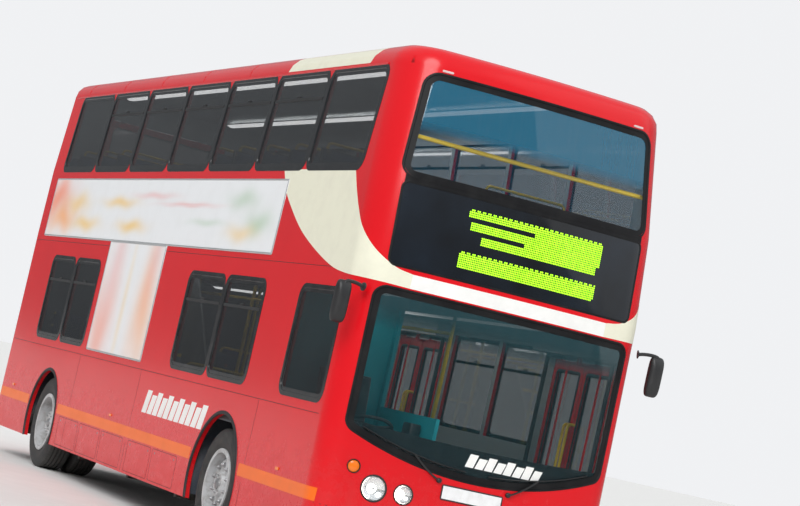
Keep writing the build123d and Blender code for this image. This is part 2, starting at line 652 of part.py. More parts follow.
# Handrails: poles from floor to ceiling, a rail along each side and one across the front window
POLES = [(x, side * 330) for x in (3300, 1560, 60, -1650) for side in (1, -1)]
TOP_RAIL = 2150
poles = []
for x, y in POLES:
    foot = (FLOOR + PLATFORM) / 2 if PLATFORM_X < x < step_x + 17 else FLOOR
    poles.append(rod((x, y, foot), (0, 0, 1), 17, UPPER_UNDER - foot))
for side in (-1, 1):
    rail = rod((POLES[-1][0], side * 330, TOP_RAIL), (1, 0, 0), 14, POLES[0][0] - POLES[-1][0])
    for pole in poles[:8]:
        rail -= pole
    poles.append(rail)
poles.append(rod((4790, -1300, 3520), (0, 1, 0), 18, 2600) & inner)
put_all(poles, "handrails")

# Mirrors on short arms at the top corners of the windscreen
arm = rod((4900, 1150, 2280), (0.35, 1, 0.05), 16, 255)
head = Pos(5010, 1385, 2130) * Box(70, 130, 330)
head = fillet(head.edges().filter_by(Axis.Y), 28)
arm = (arm - outer) - head
put_all([arm, head, mirror(arm, about=Plane.XZ), mirror(head, about=Plane.XZ)], "mirrors")

# Front axle: a dropped beam with an eye for each kingpin
beam = box(FRONT_AXLE_X - 60, FRONT_AXLE_X + 60, -820, 820, 150, 240)
ends = box(FRONT_AXLE_X - 45, FRONT_AXLE_X + 45, 750, 820, 150, 516)
ends += box(FRONT_AXLE_X - 32, FRONT_AXLE_X + 32, 815, KINGPIN_Y, 440, 516)
ends += rod((FRONT_AXLE_X, KINGPIN_Y, 440), (0, 0, 1), 42, 76)
ends -= rod((FRONT_AXLE_X, KINGPIN_Y, 400), (0, 0, 1), KINGPIN_R + RUN_GAP, 200)
put(beam + both(ends), "front_axle")
knuckle = rod((FRONT_AXLE_X, KINGPIN_Y, 400), (0, 0, 1), KINGPIN_R, 156)
for z0, z1 in ((396, 439.5), (516.5, 560)):
    knuckle += rod((FRONT_AXLE_X, KINGPIN_Y, z0), (0, 0, 1), 42, z1 - z0)
    knuckle += box(FRONT_AXLE_X - 42, FRONT_AXLE_X + 42, KINGPIN_Y, 1020, z0, z1)
knuckle += box(FRONT_AXLE_X - 42, FRONT_AXLE_X + 42, 1000, 1020, 396, 560)
knuckle += rod((FRONT_AXLE_X, 1010, TYRE_R), (0, 1, 0), STUB_R, 90)
put(knuckle, "knuckle_left")
put(mirror(knuckle, about=Plane.XZ), "knuckle_right")

# Rear axle: a low portal beam, hub tubes and the air springs that carry the rails
rear_axle = rod((REAR_AXLE_X, -620, 330), (0, 1, 0), 75, 1240)
rear_axle += both(box(REAR_AXLE_X - 90, REAR_AXLE_X + 90, 540, 620, 250, 545))
rear_axle += both(rod((REAR_AXLE_X, 600, TYRE_R), (0, 1, 0), REAR_STUB_R, 520))
rear_axle += rod((REAR_AXLE_X - 160, 0, 340), (1, 0, 0), 130, 320)
for x in (-330, 330):
    rear_axle += both(rod((REAR_AXLE_X + x, RAIL_Y, 400), (0, 0, 1), 90, 80))
    x0, x1 = sorted((REAR_AXLE_X, REAR_AXLE_X + x))
    rear_axle += both(box(x0, x1, RAIL_Y - 40, RAIL_Y + 40, 340, 400))
rear_axle += both(box(REAR_AXLE_X - 60, REAR_AXLE_X + 60, 420, 560, 300, 420))
put(rear_axle, "rear_axle")


# Wheels: profiles are half sections as radius and distance from the wheel's middle
def turned(points, y, x):
    face = make_face(Polyline(*points, close=True))
    plane = Plane(origin=(x, y, TYRE_R), x_dir=(1, 0, 0), z_dir=(0, 0, 1))
    return revolve(plane * face, Axis((x, y, TYRE_R), (0, 1, 0)))


h = RIM_WIDTH / 2
wide = TYRE_WIDTH / 2
tyre_profile = [
    (RIM_R, -h),
    (FLANGE_R, -h),
    (390, -wide),
    (450, 8 - wide),
    (TYRE_R, 30 - wide),
    (TYRE_R, wide - 30),
    (450, wide - 8),
    (390, wide),
    (FLANGE_R, h),
    (RIM_R, h),
]
barrel = [
    (RIM_R, -h),
    (FLANGE_R, -h),
    (FLANGE_R, -h - FLANGE),
    (RIM_R - 20, -h - FLANGE),
    (RIM_R - 20, h + FLANGE),
    (FLANGE_R, h + FLANGE),
    (FLANGE_R, h),
    (RIM_R, h),
]
# The disc's outer face stands near the rim's outer edge in front and deep inside behind
front_disc = [
    (STUB_R + RUN_GAP, -25),
    (110, -25),
    (110, 55),
    (200, 60),
    (RIM_R - 18, 20),
    (RIM_R - 18, 36),
    (200, 78),
    (110, 78),
    (95, 110),
    (0, 110),
    (0, 60),
    (STUB_R + RUN_GAP, 60),
]
rear_disc = [
    (REAR_STUB_R + RUN_GAP, -40),
    (140, -40),
    (140, 5),
    (RIM_R - 18, 5),
    (RIM_R - 18, 22),
    (140, 22),
    (140, 60),
    (REAR_STUB_R + RUN_GAP, 60),
]
HAND_HOLES = 10


# Round holes in a ring through the discs, between the planes y0 and y1
def hand_holes(x, ring, r, y0, y1):
    angles = [2 * pi * k / HAND_HOLES for k in range(HAND_HOLES)]
    return [rod((x + ring * cos(a), y0, TYRE_R + ring * sin(a)), (0, 1, 0), r, y1 - y0) for a in angles]


for side, word in ((1, "left"), (-1, "right")):
    keep = (lambda s: s) if side > 0 else (lambda s: mirror(s, about=Plane.XZ))
    put(keep(turned(tyre_profile, FRONT_WHEEL_Y, FRONT_AXLE_X)), "tyre_front_" + word)
    rim = turned(barrel, FRONT_WHEEL_Y, FRONT_AXLE_X) + turned(front_disc, FRONT_WHEEL_Y, FRONT_AXLE_X)
    rim -= hand_holes(FRONT_AXLE_X, 232, 20, FRONT_WHEEL_Y, FRONT_WHEEL_Y + 90)
    put(keep(rim), "wheel_front_" + word)
    twins = turned(tyre_profile, REAR_OUTER_Y, REAR_AXLE_X).solids()
    twins += turned(tyre_profile, REAR_INNER_Y, REAR_AXLE_X).solids()
    put(keep(Compound(children=twins)), "tyres_rear_" + word)
    rim = turned(barrel, REAR_OUTER_Y, REAR_AXLE_X) + turned(barrel, REAR_INNER_Y, REAR_AXLE_X)
    rim += turned(rear_disc, REAR_OUTER_Y - 60, REAR_AXLE_X)
    rim += turned(rear_disc, REAR_INNER_Y + 40, REAR_AXLE_X)
    rim -= hand_holes(REAR_AXLE_X, 212, 24, REAR_INNER_Y + 40, REAR_OUTER_Y - 30)
    tube = [(REAR_STUB_R + RUN_GAP, REAR_INNER_Y), (100, REAR_INNER_Y), (100, REAR_OUTER_Y)]
    rim += turned(tube + [(REAR_STUB_R + RUN_GAP, REAR_OUTER_Y)], 0, REAR_AXLE_X)
    rim += turned([(0, 60), (120, 60), (120, 75), (0, 75)], REAR_OUTER_Y, REAR_AXLE_X)
    rim += turned([(100, 0), (120, 0), (120, 60), (100, 60)], REAR_OUTER_Y, REAR_AXLE_X)
    put(keep(rim), "wheel_rear_" + word)

# Door leaves and their arms. For the second leaf of a doorway the first is mirrored in X.
for name, (x0, x1) in DOORWAYS.items():
    middle = (x0 + x1) / 2
    post_x = x0 - POST_IN
    reach = middle - DOOR_GAP / 2 - LEAF_FREE - post_x
    arm_len = reach / 2
    p1 = post_x + arm_len
    p2 = post_x + reach
    post = rod((post_x, POST_Y, FLOOR + RUN_GAP), (0, 0, 1), POST_R, HEADER - FLOOR - 2 * RUN_GAP)
    post += rod((post_x, POST_Y, FLOOR - BEARING), (0, 0, 1), PIN_R, HEADER - FLOOR + 2 * BEARING)
    for z in (ARM_LOW, ARM_TOP):
        post += box(post_x, p1, POST_Y - ARM_W / 2, POST_Y + ARM_W / 2, z, z + ARM_H)
        post += rod((p1, POST_Y, z), (0, 0, 1), ARM_W / 2, ARM_H)
        post -= rod((p1, POST_Y, z - 5), (0, 0, 1), PIN_R + RUN_GAP, ARM_H + 10)
    start = post_x + POST_TO_EDGE
    end = p2 + LEAF_FREE
    y_in = POST_Y + LEAF_OFFSET - LEAF / 2
    y_out = y_in + LEAF
    leaf = box(start, end, y_in, y_out, DOOR_BOTTOM, DOOR_TOP)
    pane_cut = box(start + 60, end - 60, y_in - 5, y_out + 5, DOOR_BOTTOM + 130, DOOR_TOP - 90)
    leaf -= pane_cut
    # Each bracket stands in from the leaf's end and carries the pin that turns in the arm's eye
    for z, pin_z in ((DOOR_BOTTOM, ARM_LOW - 2), (DOOR_TOP - BRACKET, DOOR_TOP - BRACKET)):
        leaf += box(p1 - 15, p1 + 15, POST_Y, y_in, z, z + BRACKET)
        leaf += rod((p1, POST_Y, z), (0, 0, 1), 15, BRACKET)
        pin_end = z + BRACKET if pin_z < z else ARM_TOP + ARM_H + 2
        leaf += rod((p1, POST_Y, pin_z), (0, 0, 1), PIN_R, pin_end - pin_z)
    leaf += box(p1 - 15, p1 + 15, y_in - 6, y_in, DOOR_BOTTOM, DOOR_TOP)
    leaf += box(p2 - 12, p2 + 12, POST_Y, y_in, DOOR_TOP - 28, DOOR_TOP - 13)
    leaf += rod((p2, POST_Y, DOOR_TOP - 28), (0, 0, 1), ROLLER_R, HEADER + 21 - DOOR_TOP + 28)
    pane = box(start + 60, end - 60, y_in + 14, y_in + 22, DOOR_BOTTOM + 130, DOOR_TOP - 90)
    flip = Plane(origin=(middle, 0, 0), x_dir=(0, 1, 0), z_dir=(1, 0, 0))
    for word, keep in (("rear", lambda s: s), ("front", lambda s: mirror(s, about=flip))):
        put(keep(post), name + "_arm_" + word)
        put(keep(leaf), name + "_leaf_" + word)
        put(keep(pane), name + "_glass_" + word)
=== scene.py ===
import math

import bmesh
import bpy
import numpy as np
from mathutils import Matrix, Vector
from mathutils.bvhtree import BVHTree


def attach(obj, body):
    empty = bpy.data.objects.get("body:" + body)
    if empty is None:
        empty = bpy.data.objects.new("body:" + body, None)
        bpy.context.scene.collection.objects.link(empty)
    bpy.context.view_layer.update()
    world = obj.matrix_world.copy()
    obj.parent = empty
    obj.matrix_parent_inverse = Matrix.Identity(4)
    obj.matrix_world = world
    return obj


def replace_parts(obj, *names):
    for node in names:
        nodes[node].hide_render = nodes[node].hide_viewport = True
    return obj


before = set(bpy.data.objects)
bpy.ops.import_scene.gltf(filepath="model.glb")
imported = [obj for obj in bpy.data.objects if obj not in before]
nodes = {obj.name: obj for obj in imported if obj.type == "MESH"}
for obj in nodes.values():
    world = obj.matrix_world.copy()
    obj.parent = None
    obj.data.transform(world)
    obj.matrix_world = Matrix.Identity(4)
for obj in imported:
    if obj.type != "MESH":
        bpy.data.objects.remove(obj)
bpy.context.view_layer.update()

# The coachwork is a steel and aluminium box skinned with large formed panels. Its outline is
# bowed at the front, with rounded corners that grow towards the roof, and its sides lean in
# above the waist. Everything fixed to the outside follows this skin.
# Columns: height, half width, front face, front corner radius, rear face, rear corner radius
SIDE_ROWS = [
    (0.280, 1.240, 5.080, 0.220, -5.082, 0.150),
    (0.620, 1.250, 5.100, 0.220, -5.082, 0.150),
    (1.000, 1.250, 5.075, 0.230, -5.082, 0.150),
    (2.480, 1.250, 5.055, 0.280, -5.082, 0.150),
    (3.200, 1.240, 5.005, 0.340, -5.082, 0.150),
    (4.080, 1.185, 4.860, 0.380, -5.082, 0.150),
]
FRONT_SWEEP = 6.0
EAVE_RADIUS = 0.170
CROWN_RISE = 0.050


def skin_rows():
    """The rows of the walls, then rows up the eave's quarter circle and over the low crown."""
    rows = list(SIDE_ROWS)
    z, half, front, corner, rear, rear_corner = SIDE_ROWS[-1]
    turns = np.radians((25, 50, 72, 90))
    steps = [(EAVE_RADIUS * (1 - math.cos(t)), EAVE_RADIUS * math.sin(t)) for t in turns]
    steps.append((EAVE_RADIUS + 0.42, EAVE_RADIUS + CROWN_RISE * 0.65))
    steps.append((EAVE_RADIUS + 0.82, EAVE_RADIUS + CROWN_RISE))
    for inset, rise in steps:
        r, q = max(corner - inset, 0.04), max(rear_corner - inset, 0.04)
        rows.append((z + rise, half - inset, front - inset, r, rear + inset, q))
    return np.array(rows)


ROWS = skin_rows()


def plan(k, row):
    """Point of one level outline. |k| runs 0-1 along the bowed front, 1-2 round the front corner,
    2-3 along the side, 3-4 round the rear corner and 4-5 across the back; k > 0 is the kerb side."""
    half, front, corner, rear, rear_corner = (row[..., i] for i in range(1, 6))
    a = np.abs(k)
    turn = np.arcsin((half - corner) / (FRONT_SWEEP - corner))
    cx = front - FRONT_SWEEP + (FRONT_SWEEP - corner) * np.cos(turn)
    cy = half - corner
    bend = turn + (a - 1) * (math.pi / 2 - turn)
    back = (a - 2) * math.pi / 2
    end = rear + rear_corner
    cases = [a < 1, a < 2, a < 3, a < 4]
    x = np.select(
        cases,
        [
            front - FRONT_SWEEP + FRONT_SWEEP * np.cos(a * turn),
            cx + corner * np.cos(bend),
            cx + (a - 2) * (end - cx),
            end + rear_corner * np.cos(back),
        ],
        rear,
    )
    y = np.select(
        cases,
        [
            FRONT_SWEEP * np.sin(a * turn),
            cy + corner * np.sin(bend),
            half,
            half - rear_corner + rear_corner * np.sin(back),
        ],
        (half - rear_corner) * (5 - a),
    )
    return np.stack([x, np.sign(k) * y], -1)


def skin_flat(k, z):
    """Point on the ruled skin: the same k on the two rows about z, joined by a straight line."""
    k, z = np.broadcast_arrays(np.asarray(k, float), np.asarray(z, float))
    i = np.clip(np.searchsorted(ROWS[:, 0], z, side="right") - 1, 0, len(ROWS) - 2)
    t = ((z - ROWS[i, 0]) / (ROWS[i + 1, 0] - ROWS[i, 0]))[..., None]
    xy = plan(k, ROWS[i]) * (1 - t) + plan(k, ROWS[i + 1]) * t
    return np.concatenate([xy, z[..., None]], -1)


def skin(k, z, out):
    """Skin point moved out along the normal, which is the cross product of its two slopes."""
    e = 2e-3
    along = skin_flat(np.asarray(k) + e, z) - skin_flat(np.asarray(k) - e, z)
    up = skin_flat(k, np.asarray(z) + e) - skin_flat(k, np.asarray(z) - e)
    n = np.cross(along, up)
    n /= np.linalg.norm(n, axis=-1, keepdims=True)
    return skin_flat(k, z) + n * np.asarray(out)[..., None]


def k_side(x, z, side):
    """The outline parameter of distance x along the straight part of a side at height z."""
    x, z = np.broadcast_arrays(np.asarray(x, float), np.asarray(z, float))
    start = skin_flat(np.full(x.shape, 2.0), z)[..., 0]
    end = skin_flat(np.full(x.shape, 3.0), z)[..., 0]
    return side * (2 + (start - x) / (start - end))


def k_front(y, z):
    """The outline parameter at which the front or its corner lies at y, found by halving."""
    y, z = np.broadcast_arrays(np.asarray(y, float), np.asarray(z, float))
    low, high = np.zeros(y.shape), np.full(y.shape, 2.0)
    for _ in range(40):
        mid = (low + high) / 2
        short = skin_flat(mid, z)[..., 1] < np.abs(y)
        low, high = np.where(short, mid, low), np.where(short, high, mid)
    return np.where(y < 0, -low, low)


def points(x, y, z):
    """Points of the three coordinates, each spread over the shape that they share."""
    return np.stack(np.broadcast_arrays(x, y, z), -1)


def quads(ids):
    """The faces between neighbours of a grid of vertex numbers."""
    return np.stack([ids[:-1, :-1], ids[1:, :-1], ids[1:, 1:], ids[:-1, 1:]], -1).reshape(-1, 4)


def surface(name, p, wrap_u=False, wrap_v=False, caps=False, smooth=True):
    """Mesh over a grid of points p[u, v]: quads between neighbours, wrapped where asked. caps
    closes a tube's two ends with a fan about each end ring's mean point."""
    p = np.asarray(p, float)
    nu, nv = p.shape[:2]
    ids = np.arange(nu * nv).reshape(nu, nv)
    if wrap_u:
        ids = np.vstack([ids, ids[:1]])
    if wrap_v:
        ids = np.hstack([ids, ids[:, :1]])
    verts = p.reshape(-1, 3)
    faces = quads(ids).tolist()
    if caps:
        ends = np.stack([p[0].mean(0), p[-1].mean(0)])
        verts = np.vstack([verts, ends])
        a, b = len(verts) - 2, len(verts) - 1
        faces += [(a, i, j) for i, j in zip(ids[0, :-1].tolist(), ids[0, 1:].tolist())]
        faces += [(b, j, i) for i, j in zip(ids[-1, :-1].tolist(), ids[-1, 1:].tolist())]
    mesh = bpy.data.meshes.new(name)
    mesh.from_pydata(verts.tolist(), [], faces)
    return finish_mesh(name, mesh, smooth)


SHARP_ANGLE = 0.7


def finish_mesh(name, mesh, smooth=True):
    """A new object of the mesh, with outward normals and smooth faces between sharp edges."""
    b = bmesh.new()
    b.from_mesh(mesh)
    bmesh.ops.remove_doubles(b, verts=b.verts, dist=1e-6)
    bmesh.ops.recalc_face_normals(b, faces=b.faces)
    b.to_mesh(mesh)
    b.free()
    mesh.polygons.foreach_set("use_smooth", [smooth] * len(mesh.polygons))
    if smooth:
        mesh.set_sharp_from_angle(angle=SHARP_ANGLE)
    o = bpy.data.objects.new(name, mesh)
    bpy.context.scene.collection.objects.link(o)
    return o


def slab(name, k, z, out, depth):
    """A thin closed sheet on the skin: the outer grid at out, and an inner one depth below it."""
    return sheet(name, skin(k, z, out), skin(k, z, out - depth))


def sheet(name, outer, inner):
    """A closed thin solid between two grids of one shape: both grids and the four rims."""
    nu, nv = outer.shape[:2]
    ids = np.arange(nu * nv).reshape(nu, nv)
    top = quads(ids)
    rim = np.concatenate([ids[0, :], ids[1:, -1], ids[-1, -2::-1], ids[-2:0:-1, 0]])
    nxt = np.roll(rim, -1)
    n = nu * nv
    sides = np.stack([rim, nxt, nxt + n, rim + n], -1)
    faces = np.concatenate([top, top[:, ::-1] + n, sides]).tolist()
    mesh = bpy.data.meshes.new(name)
    mesh.from_pydata(np.concatenate([outer.reshape(-1, 3), inner.reshape(-1, 3)]).tolist(), [], faces)
    return finish_mesh(name, mesh)


def coat(parts, paint):
    """The parts, where each one that has no paint yet gets this one."""
    for o in parts:
        if not o.data.materials:
            o.data.materials.append(paint)
    return parts


def repaint(node, paint):
    """Gives a node's mesh the paint in place of its own."""
    nodes[node].data.materials.clear()
    nodes[node].data.materials.append(paint)


def join(name, parts, body):
    """One piece of several meshes, riding on a body."""
    mesh = bpy.data.meshes.new(name)
    b = bmesh.new()
    slots = []
    for o in parts:
        for m in o.data.materials:
            if m not in slots:
                slots.append(m)
    for o in parts:
        start = len(b.faces)
        b.from_mesh(o.data)
        b.faces.ensure_lookup_table()
        local = [slots.index(m) for m in o.data.materials] or [0]
        for f in b.faces[start:]:
            f.material_index = local[f.material_index]
    b.to_mesh(mesh)
    b.free()
    for m in slots:
        mesh.materials.append(m)
    for o in parts:
        data = o.data
        bpy.data.objects.remove(o)
        bpy.data.meshes.remove(data)
    made = bpy.data.objects.new(name, mesh)
    bpy.context.scene.collection.objects.link(made)
    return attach(made, body)


def skin_at(p):
    """The outline parameter of points on or near the skin, found by halving on the polar angle."""
    z = np.clip(p[:, 2], ROWS[0, 0], ROWS[-1, 0] - 1e-6)
    angle = np.arctan2(np.abs(p[:, 1]), p[:, 0])
    low, high = np.zeros(len(p)), np.full(len(p), 5.0)
    for _ in range(30):
        mid = (low + high) / 2
        q = skin_flat(mid, z)
        short = np.arctan2(q[:, 1], q[:, 0]) < angle
        low, high = np.where(short, mid, low), np.where(short, high, mid)
    return np.where(p[:, 1] < 0, -low, low), z


def skin_normal(k, z):
    """Outward normal of the skin. Each row takes its two strips' normals by their heights, and a
    point between two rows takes theirs by its height, so that the folds read as one bend."""

    def strip(i):
        i = np.clip(i, 0, len(ROWS) - 2)
        along = plan(k + 2e-3, ROWS[i]) - plan(k - 2e-3, ROWS[i])
        rise = plan(k, ROWS[i + 1]) - plan(k, ROWS[i])
        height = ROWS[i + 1, 0] - ROWS[i, 0]
        n = np.cross(np.c_[along, np.zeros(len(k))], np.c_[rise, height])
        n /= np.linalg.norm(n, axis=1, keepdims=True)
        return n * np.hypot(height, np.linalg.norm(rise, axis=1))[:, None]

    i = np.clip(np.searchsorted(ROWS[:, 0], z, side="right") - 1, 0, len(ROWS) - 2)
    t = ((z - ROWS[i, 0]) / (ROWS[i + 1, 0] - ROWS[i, 0]))[:, None]
    low, high = strip(i - 1) * (i > 0)[:, None] + strip(i), strip(i) + strip(i + 1)
    low /= np.linalg.norm(low, axis=1, keepdims=True)
    high /= np.linalg.norm(high, axis=1, keepdims=True)
    n = low * (1 - t) + high * t
    return n / np.linalg.norm(n, axis=1, keepdims=True)


ALONG_SKIN = 0.88


def formed(name, node, body, paint, lining=None):
    """A smooth copy of a formed CAD panel. Its loose triangles are merged, and the faces that lie
    along the skin, by the cosine between the two normals, are shaded with the skin's own normal,
    so the panel reads as pressed sheet. The faces turned to the saloon get the lining."""
    mesh = nodes[node].data.copy()
    mesh.name = name
    b = bmesh.new()
    b.from_mesh(mesh)
    bmesh.ops.remove_doubles(b, verts=b.verts, dist=1e-5)
    b.to_mesh(mesh)
    b.free()
    mesh.polygons.foreach_set("use_smooth", [True] * len(mesh.polygons))
    corner = np.zeros(len(mesh.loops), int)
    mesh.loops.foreach_get("vertex_index", corner)
    corners = np.zeros(len(mesh.vertices) * 3)
    mesh.vertices.foreach_get("co", corners)
    flat = np.zeros(len(mesh.polygons) * 3)
    mesh.polygons.foreach_get("normal", flat)
    count = np.zeros(len(mesh.polygons), int)
    mesh.polygons.foreach_get("loop_total", count)
    face = np.repeat(flat.reshape(-1, 3), count, axis=0)
    shaded = skin_normal(*skin_at(corners.reshape(-1, 3)))[corner]
    match = (face * shaded).sum(1, keepdims=True)
    normals = np.where(match > ALONG_SKIN, shaded, np.where(match < -ALONG_SKIN, -shaded, face))
    mesh.normals_split_custom_set(normals.tolist())
    mesh.materials.clear()
    mesh.materials.append(paint)
    if lining:
        mesh.materials.append(lining)
        first = np.concatenate([[0], np.cumsum(count)[:-1]])
        inward = np.minimum.reduceat(match[:, 0], first) < -0.5
        mesh.polygons.foreach_set("material_index", inward.astype(int))
    o = bpy.data.objects.new(name, mesh)
    bpy.context.scene.collection.objects.link(o)
    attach(o, body)
    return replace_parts(o, node)


def put(shader, key, value):
    """Joins an input of a shader node to a socket, or gives it a plain value."""
    if isinstance(value, bpy.types.NodeSocket):
        shader.id_data.links.new(value, shader.inputs[key])
    else:
        shader.inputs[key].default_value = value


def add(tree, kind, inputs=None, **settings):
    """A shader node with its settings, and its inputs joined to sockets or given numbers."""
    n = tree.nodes.new("ShaderNode" + kind)
    for key, value in settings.items():
        setattr(n, key, value)
    for key, value in (inputs or {}).items():
        put(n, key, value)
    return n


def begin(name):
    """A new material with its tree, its main shader and the Object coordinates."""
    m = bpy.data.materials.new(name)
    m.use_nodes = True
    tree = m.node_tree
    return m, tree, tree.nodes["Principled BSDF"], add(tree, "TexCoord").outputs["Object"]


def noise(tree, place, scale, detail, rough=0.55):
    """Fractal noise of a given number of lumps a metre."""
    n = add(tree, "TexNoise", {"Vector": place, "Scale": scale, "Detail": detail, "Roughness": rough})
    return n.outputs[0]


def mapped(tree, value, low, high, to_low, to_high):
    """A number carried in a straight line from one range to another, and held at its ends."""
    inputs = {"Value": value, "From Min": low, "From Max": high, "To Min": to_low, "To Max": to_high}
    return add(tree, "MapRange", inputs).outputs[0]


def mixed(tree, share, a, b):
    """Colour a passing to colour b as share goes from 0 to 1. a and b are sockets or (r, g, b)."""
    n = add(tree, "Mix", data_type="RGBA")
    put(n, 0, share)
    for index, value in ((6, a), (7, b)):
        put(n, index, (*value, 1) if isinstance(value, tuple) else value)
    return n.outputs[2]


def bumped(tree, shader, height, depth, strength):
    """Small relief on the shader: height of 1 stands depth metres out."""
    n = add(tree, "Bump", {"Height": height, "Distance": depth, "Strength": strength})
    put(shader, "Normal", n.outputs[0])


def gloss_paint(name, colour):
    """Coach enamel under lacquer: the shade drifts a little over each metre, road film dulls it
    from the skirt up to the waist, and the lacquer has a faint orange peel."""
    rough, film = 0.22, 0.6
    m, tree, shader, place = begin(name)
    cloud = noise(tree, place, 0.9, 3.0)
    shade = mixed(tree, mapped(tree, cloud, 0.3, 0.7, 0, 1), tuple(c * 0.93 for c in colour), colour)
    height = add(tree, "SeparateXYZ", {"Vector": place}).outputs["Z"]
    low = mapped(tree, height, 0.28, 1.25, film, 0)
    spots = mapped(tree, noise(tree, place, 14.0, 8.0, 0.7), 0.42, 0.66, 0.25, 1)
    dirt = add(tree, "Math", {0: low, 1: spots}, operation="MULTIPLY").outputs[0]
    faint = mapped(tree, dirt, 0, 1, 0, 0.24)
    put(shader, "Base Color", mixed(tree, faint, shade, (0.16, 0.12, 0.10)))
    put(shader, "Roughness", mapped(tree, dirt, 0, 1, rough, rough + 0.38))
    put(shader, "Specular IOR Level", 0.3)
    put(shader, "Coat Weight", 0.12)
    put(shader, "Coat Roughness", 0.08)
    bumped(tree, shader, noise(tree, place, 260.0, 2.0), 0.0004, 0.12)
    return m


def laminate(name, colour, rough=0.42):
    """Decorative laminate: one even colour with a faint fine speckle and hand marks that dull it."""
    m, tree, shader, place = begin(name)
    speck = mapped(tree, noise(tree, place, 420.0, 2.0), 0.55, 0.70, 0, 0.20)
    worn = mapped(tree, noise(tree, place, 4.0, 6.0, 0.6), 0.45, 0.75, 0, 0.18)
    base = mixed(tree, speck, colour, tuple(c * 0.6 for c in colour))
    put(shader, "Base Color", mixed(tree, worn, base, tuple(c * 0.72 for c in colour)))
    put(shader, "Roughness", mapped(tree, worn, 0, 0.18, rough, rough + 0.2))
    bumped(tree, shader, noise(tree, place, 350.0, 2.0), 0.0003, 0.2)
    return m


coach_red = gloss_paint("coach_red_enamel", (0.70, 0.004, 0.010))
saloon_lining = laminate("saloon_lining", (0.40, 0.42, 0.42))
PANELS = [
    ("side_panels_lower_offside", "wall_lower_offside", "bus_body"),
    ("side_panels_lower_kerbside", "wall_lower_nearside", "bus_body"),
    ("side_panels_upper_offside", "wall_upper_offside", "bus_body"),
    ("side_panels_upper_kerbside", "wall_upper_nearside", "bus_body"),
    ("roof_skin", "roof", "bus_body"),
    ("front_panel_lower", "front_lower", "bus_body"),
    ("front_panel_upper", "front_upper", "bus_body"),
    ("rear_panel_lower", "rear_lower", "bus_body"),
    ("rear_panel_upper", "rear_upper", "bus_body"),
    ("engine_cover_skin", "engine_cover", "engine_cover"),
]
for name, node, body in PANELS:
    formed(name, node, body, coach_red, saloon_lining)

# The side glazing is bonded toughened glass, tinted grey, with a black ceramic edge that covers
# the adhesive. On the upper deck the black edges meet over the pillars and make one dark band.
def rounded(x0, x1, z0, z1, r, n=7, step=0.25):
    """Outline of a rectangle with quarter-circle corners, its straight runs divided evenly."""
    path = []
    corners = [(x1 - r, z0 + r, -90), (x1 - r, z1 - r, 0), (x0 + r, z1 - r, 90), (x0 + r, z0 + r, 180)]
    for i, (cx, cz, start) in enumerate(corners):
        a = np.radians(start + np.linspace(0, 90, n))
        arc = np.c_[cx + r * np.cos(a), cz + r * np.sin(a)]
        bx, bz, begin_at = corners[(i + 1) % 4]
        b = math.radians(begin_at)
        nxt = np.array([bx + r * math.cos(b), bz + r * math.sin(b)])
        parts = max(int(np.linalg.norm(nxt - arc[-1]) / step), 1)
        run = arc[-1] + (nxt - arc[-1]) * (np.arange(1, parts) / parts)[:, None]
        path += [arc, run]
    return np.concatenate(path)


def on_side(side):
    """Maps x, z and a height above the skin to a point of one side."""
    return lambda x, z, out: skin(k_side(x, z, side), z, out)


def on_front(y, z, out):
    """Maps y, z and a height above the skin to a point of the front."""
    return skin(k_front(y, z), z, out)


BACK_X = SIDE_ROWS[0][4]


def on_back(y, z, out):
    """Maps y, z and a height to a point of the back, which is flat and upright up to the eave."""
    return points(BACK_X - np.asarray(out, float), -np.asarray(y, float), np.asarray(z, float))


def bead(name, path, profile, face, closed=True):
    """A strip carried along a path that is drawn flat and laid on the skin. The profile gives
    distances outward from the path and heights above the skin, round a closed section."""
    path = np.asarray(path, float)
    step = np.roll(path, -1, 0) - np.roll(path, 1, 0) if closed else np.gradient(path, axis=0)
    step /= np.linalg.norm(step, axis=1, keepdims=True)
    away = np.c_[step[:, 1], -step[:, 0]]
    d, h = np.asarray(profile, float).T
    flat = path[:, None, :] + away[:, None, :] * d[None, :, None]
    p = face(flat[..., 0], flat[..., 1], np.broadcast_to(h, flat.shape[:2]))
    return surface(name, p, wrap_u=closed, wrap_v=True, caps=not closed)


def run_on_side(name, x, z, profile, side):
    """An open strip through the points x, z of one side, wound so that it faces outward."""
    path = points(np.asarray(x, float), z, 0)[::side, :2]
    return bead(name, path, profile, on_side(side), closed=False)


def bar_section(width, low, high):
    """Section of a flat strip with slightly rounded shoulders, centred on the path."""
    w, e = width / 2, min(width, high - low) * 0.3
    return [(-w, low), (w, low), (w, high - e), (w - e, high), (-w + e, high), (-w, high - e)]


def bead_section(width, low, high):
    """Section of a soft moulding: flat below and a half ellipse above."""
    a = np.linspace(0, math.pi, 7)
    top = [(width / 2 * math.cos(t), low + (high - low) * math.sin(t)) for t in a]
    return top + [(-width / 2, low - 0.002), (width / 2, low - 0.002)]


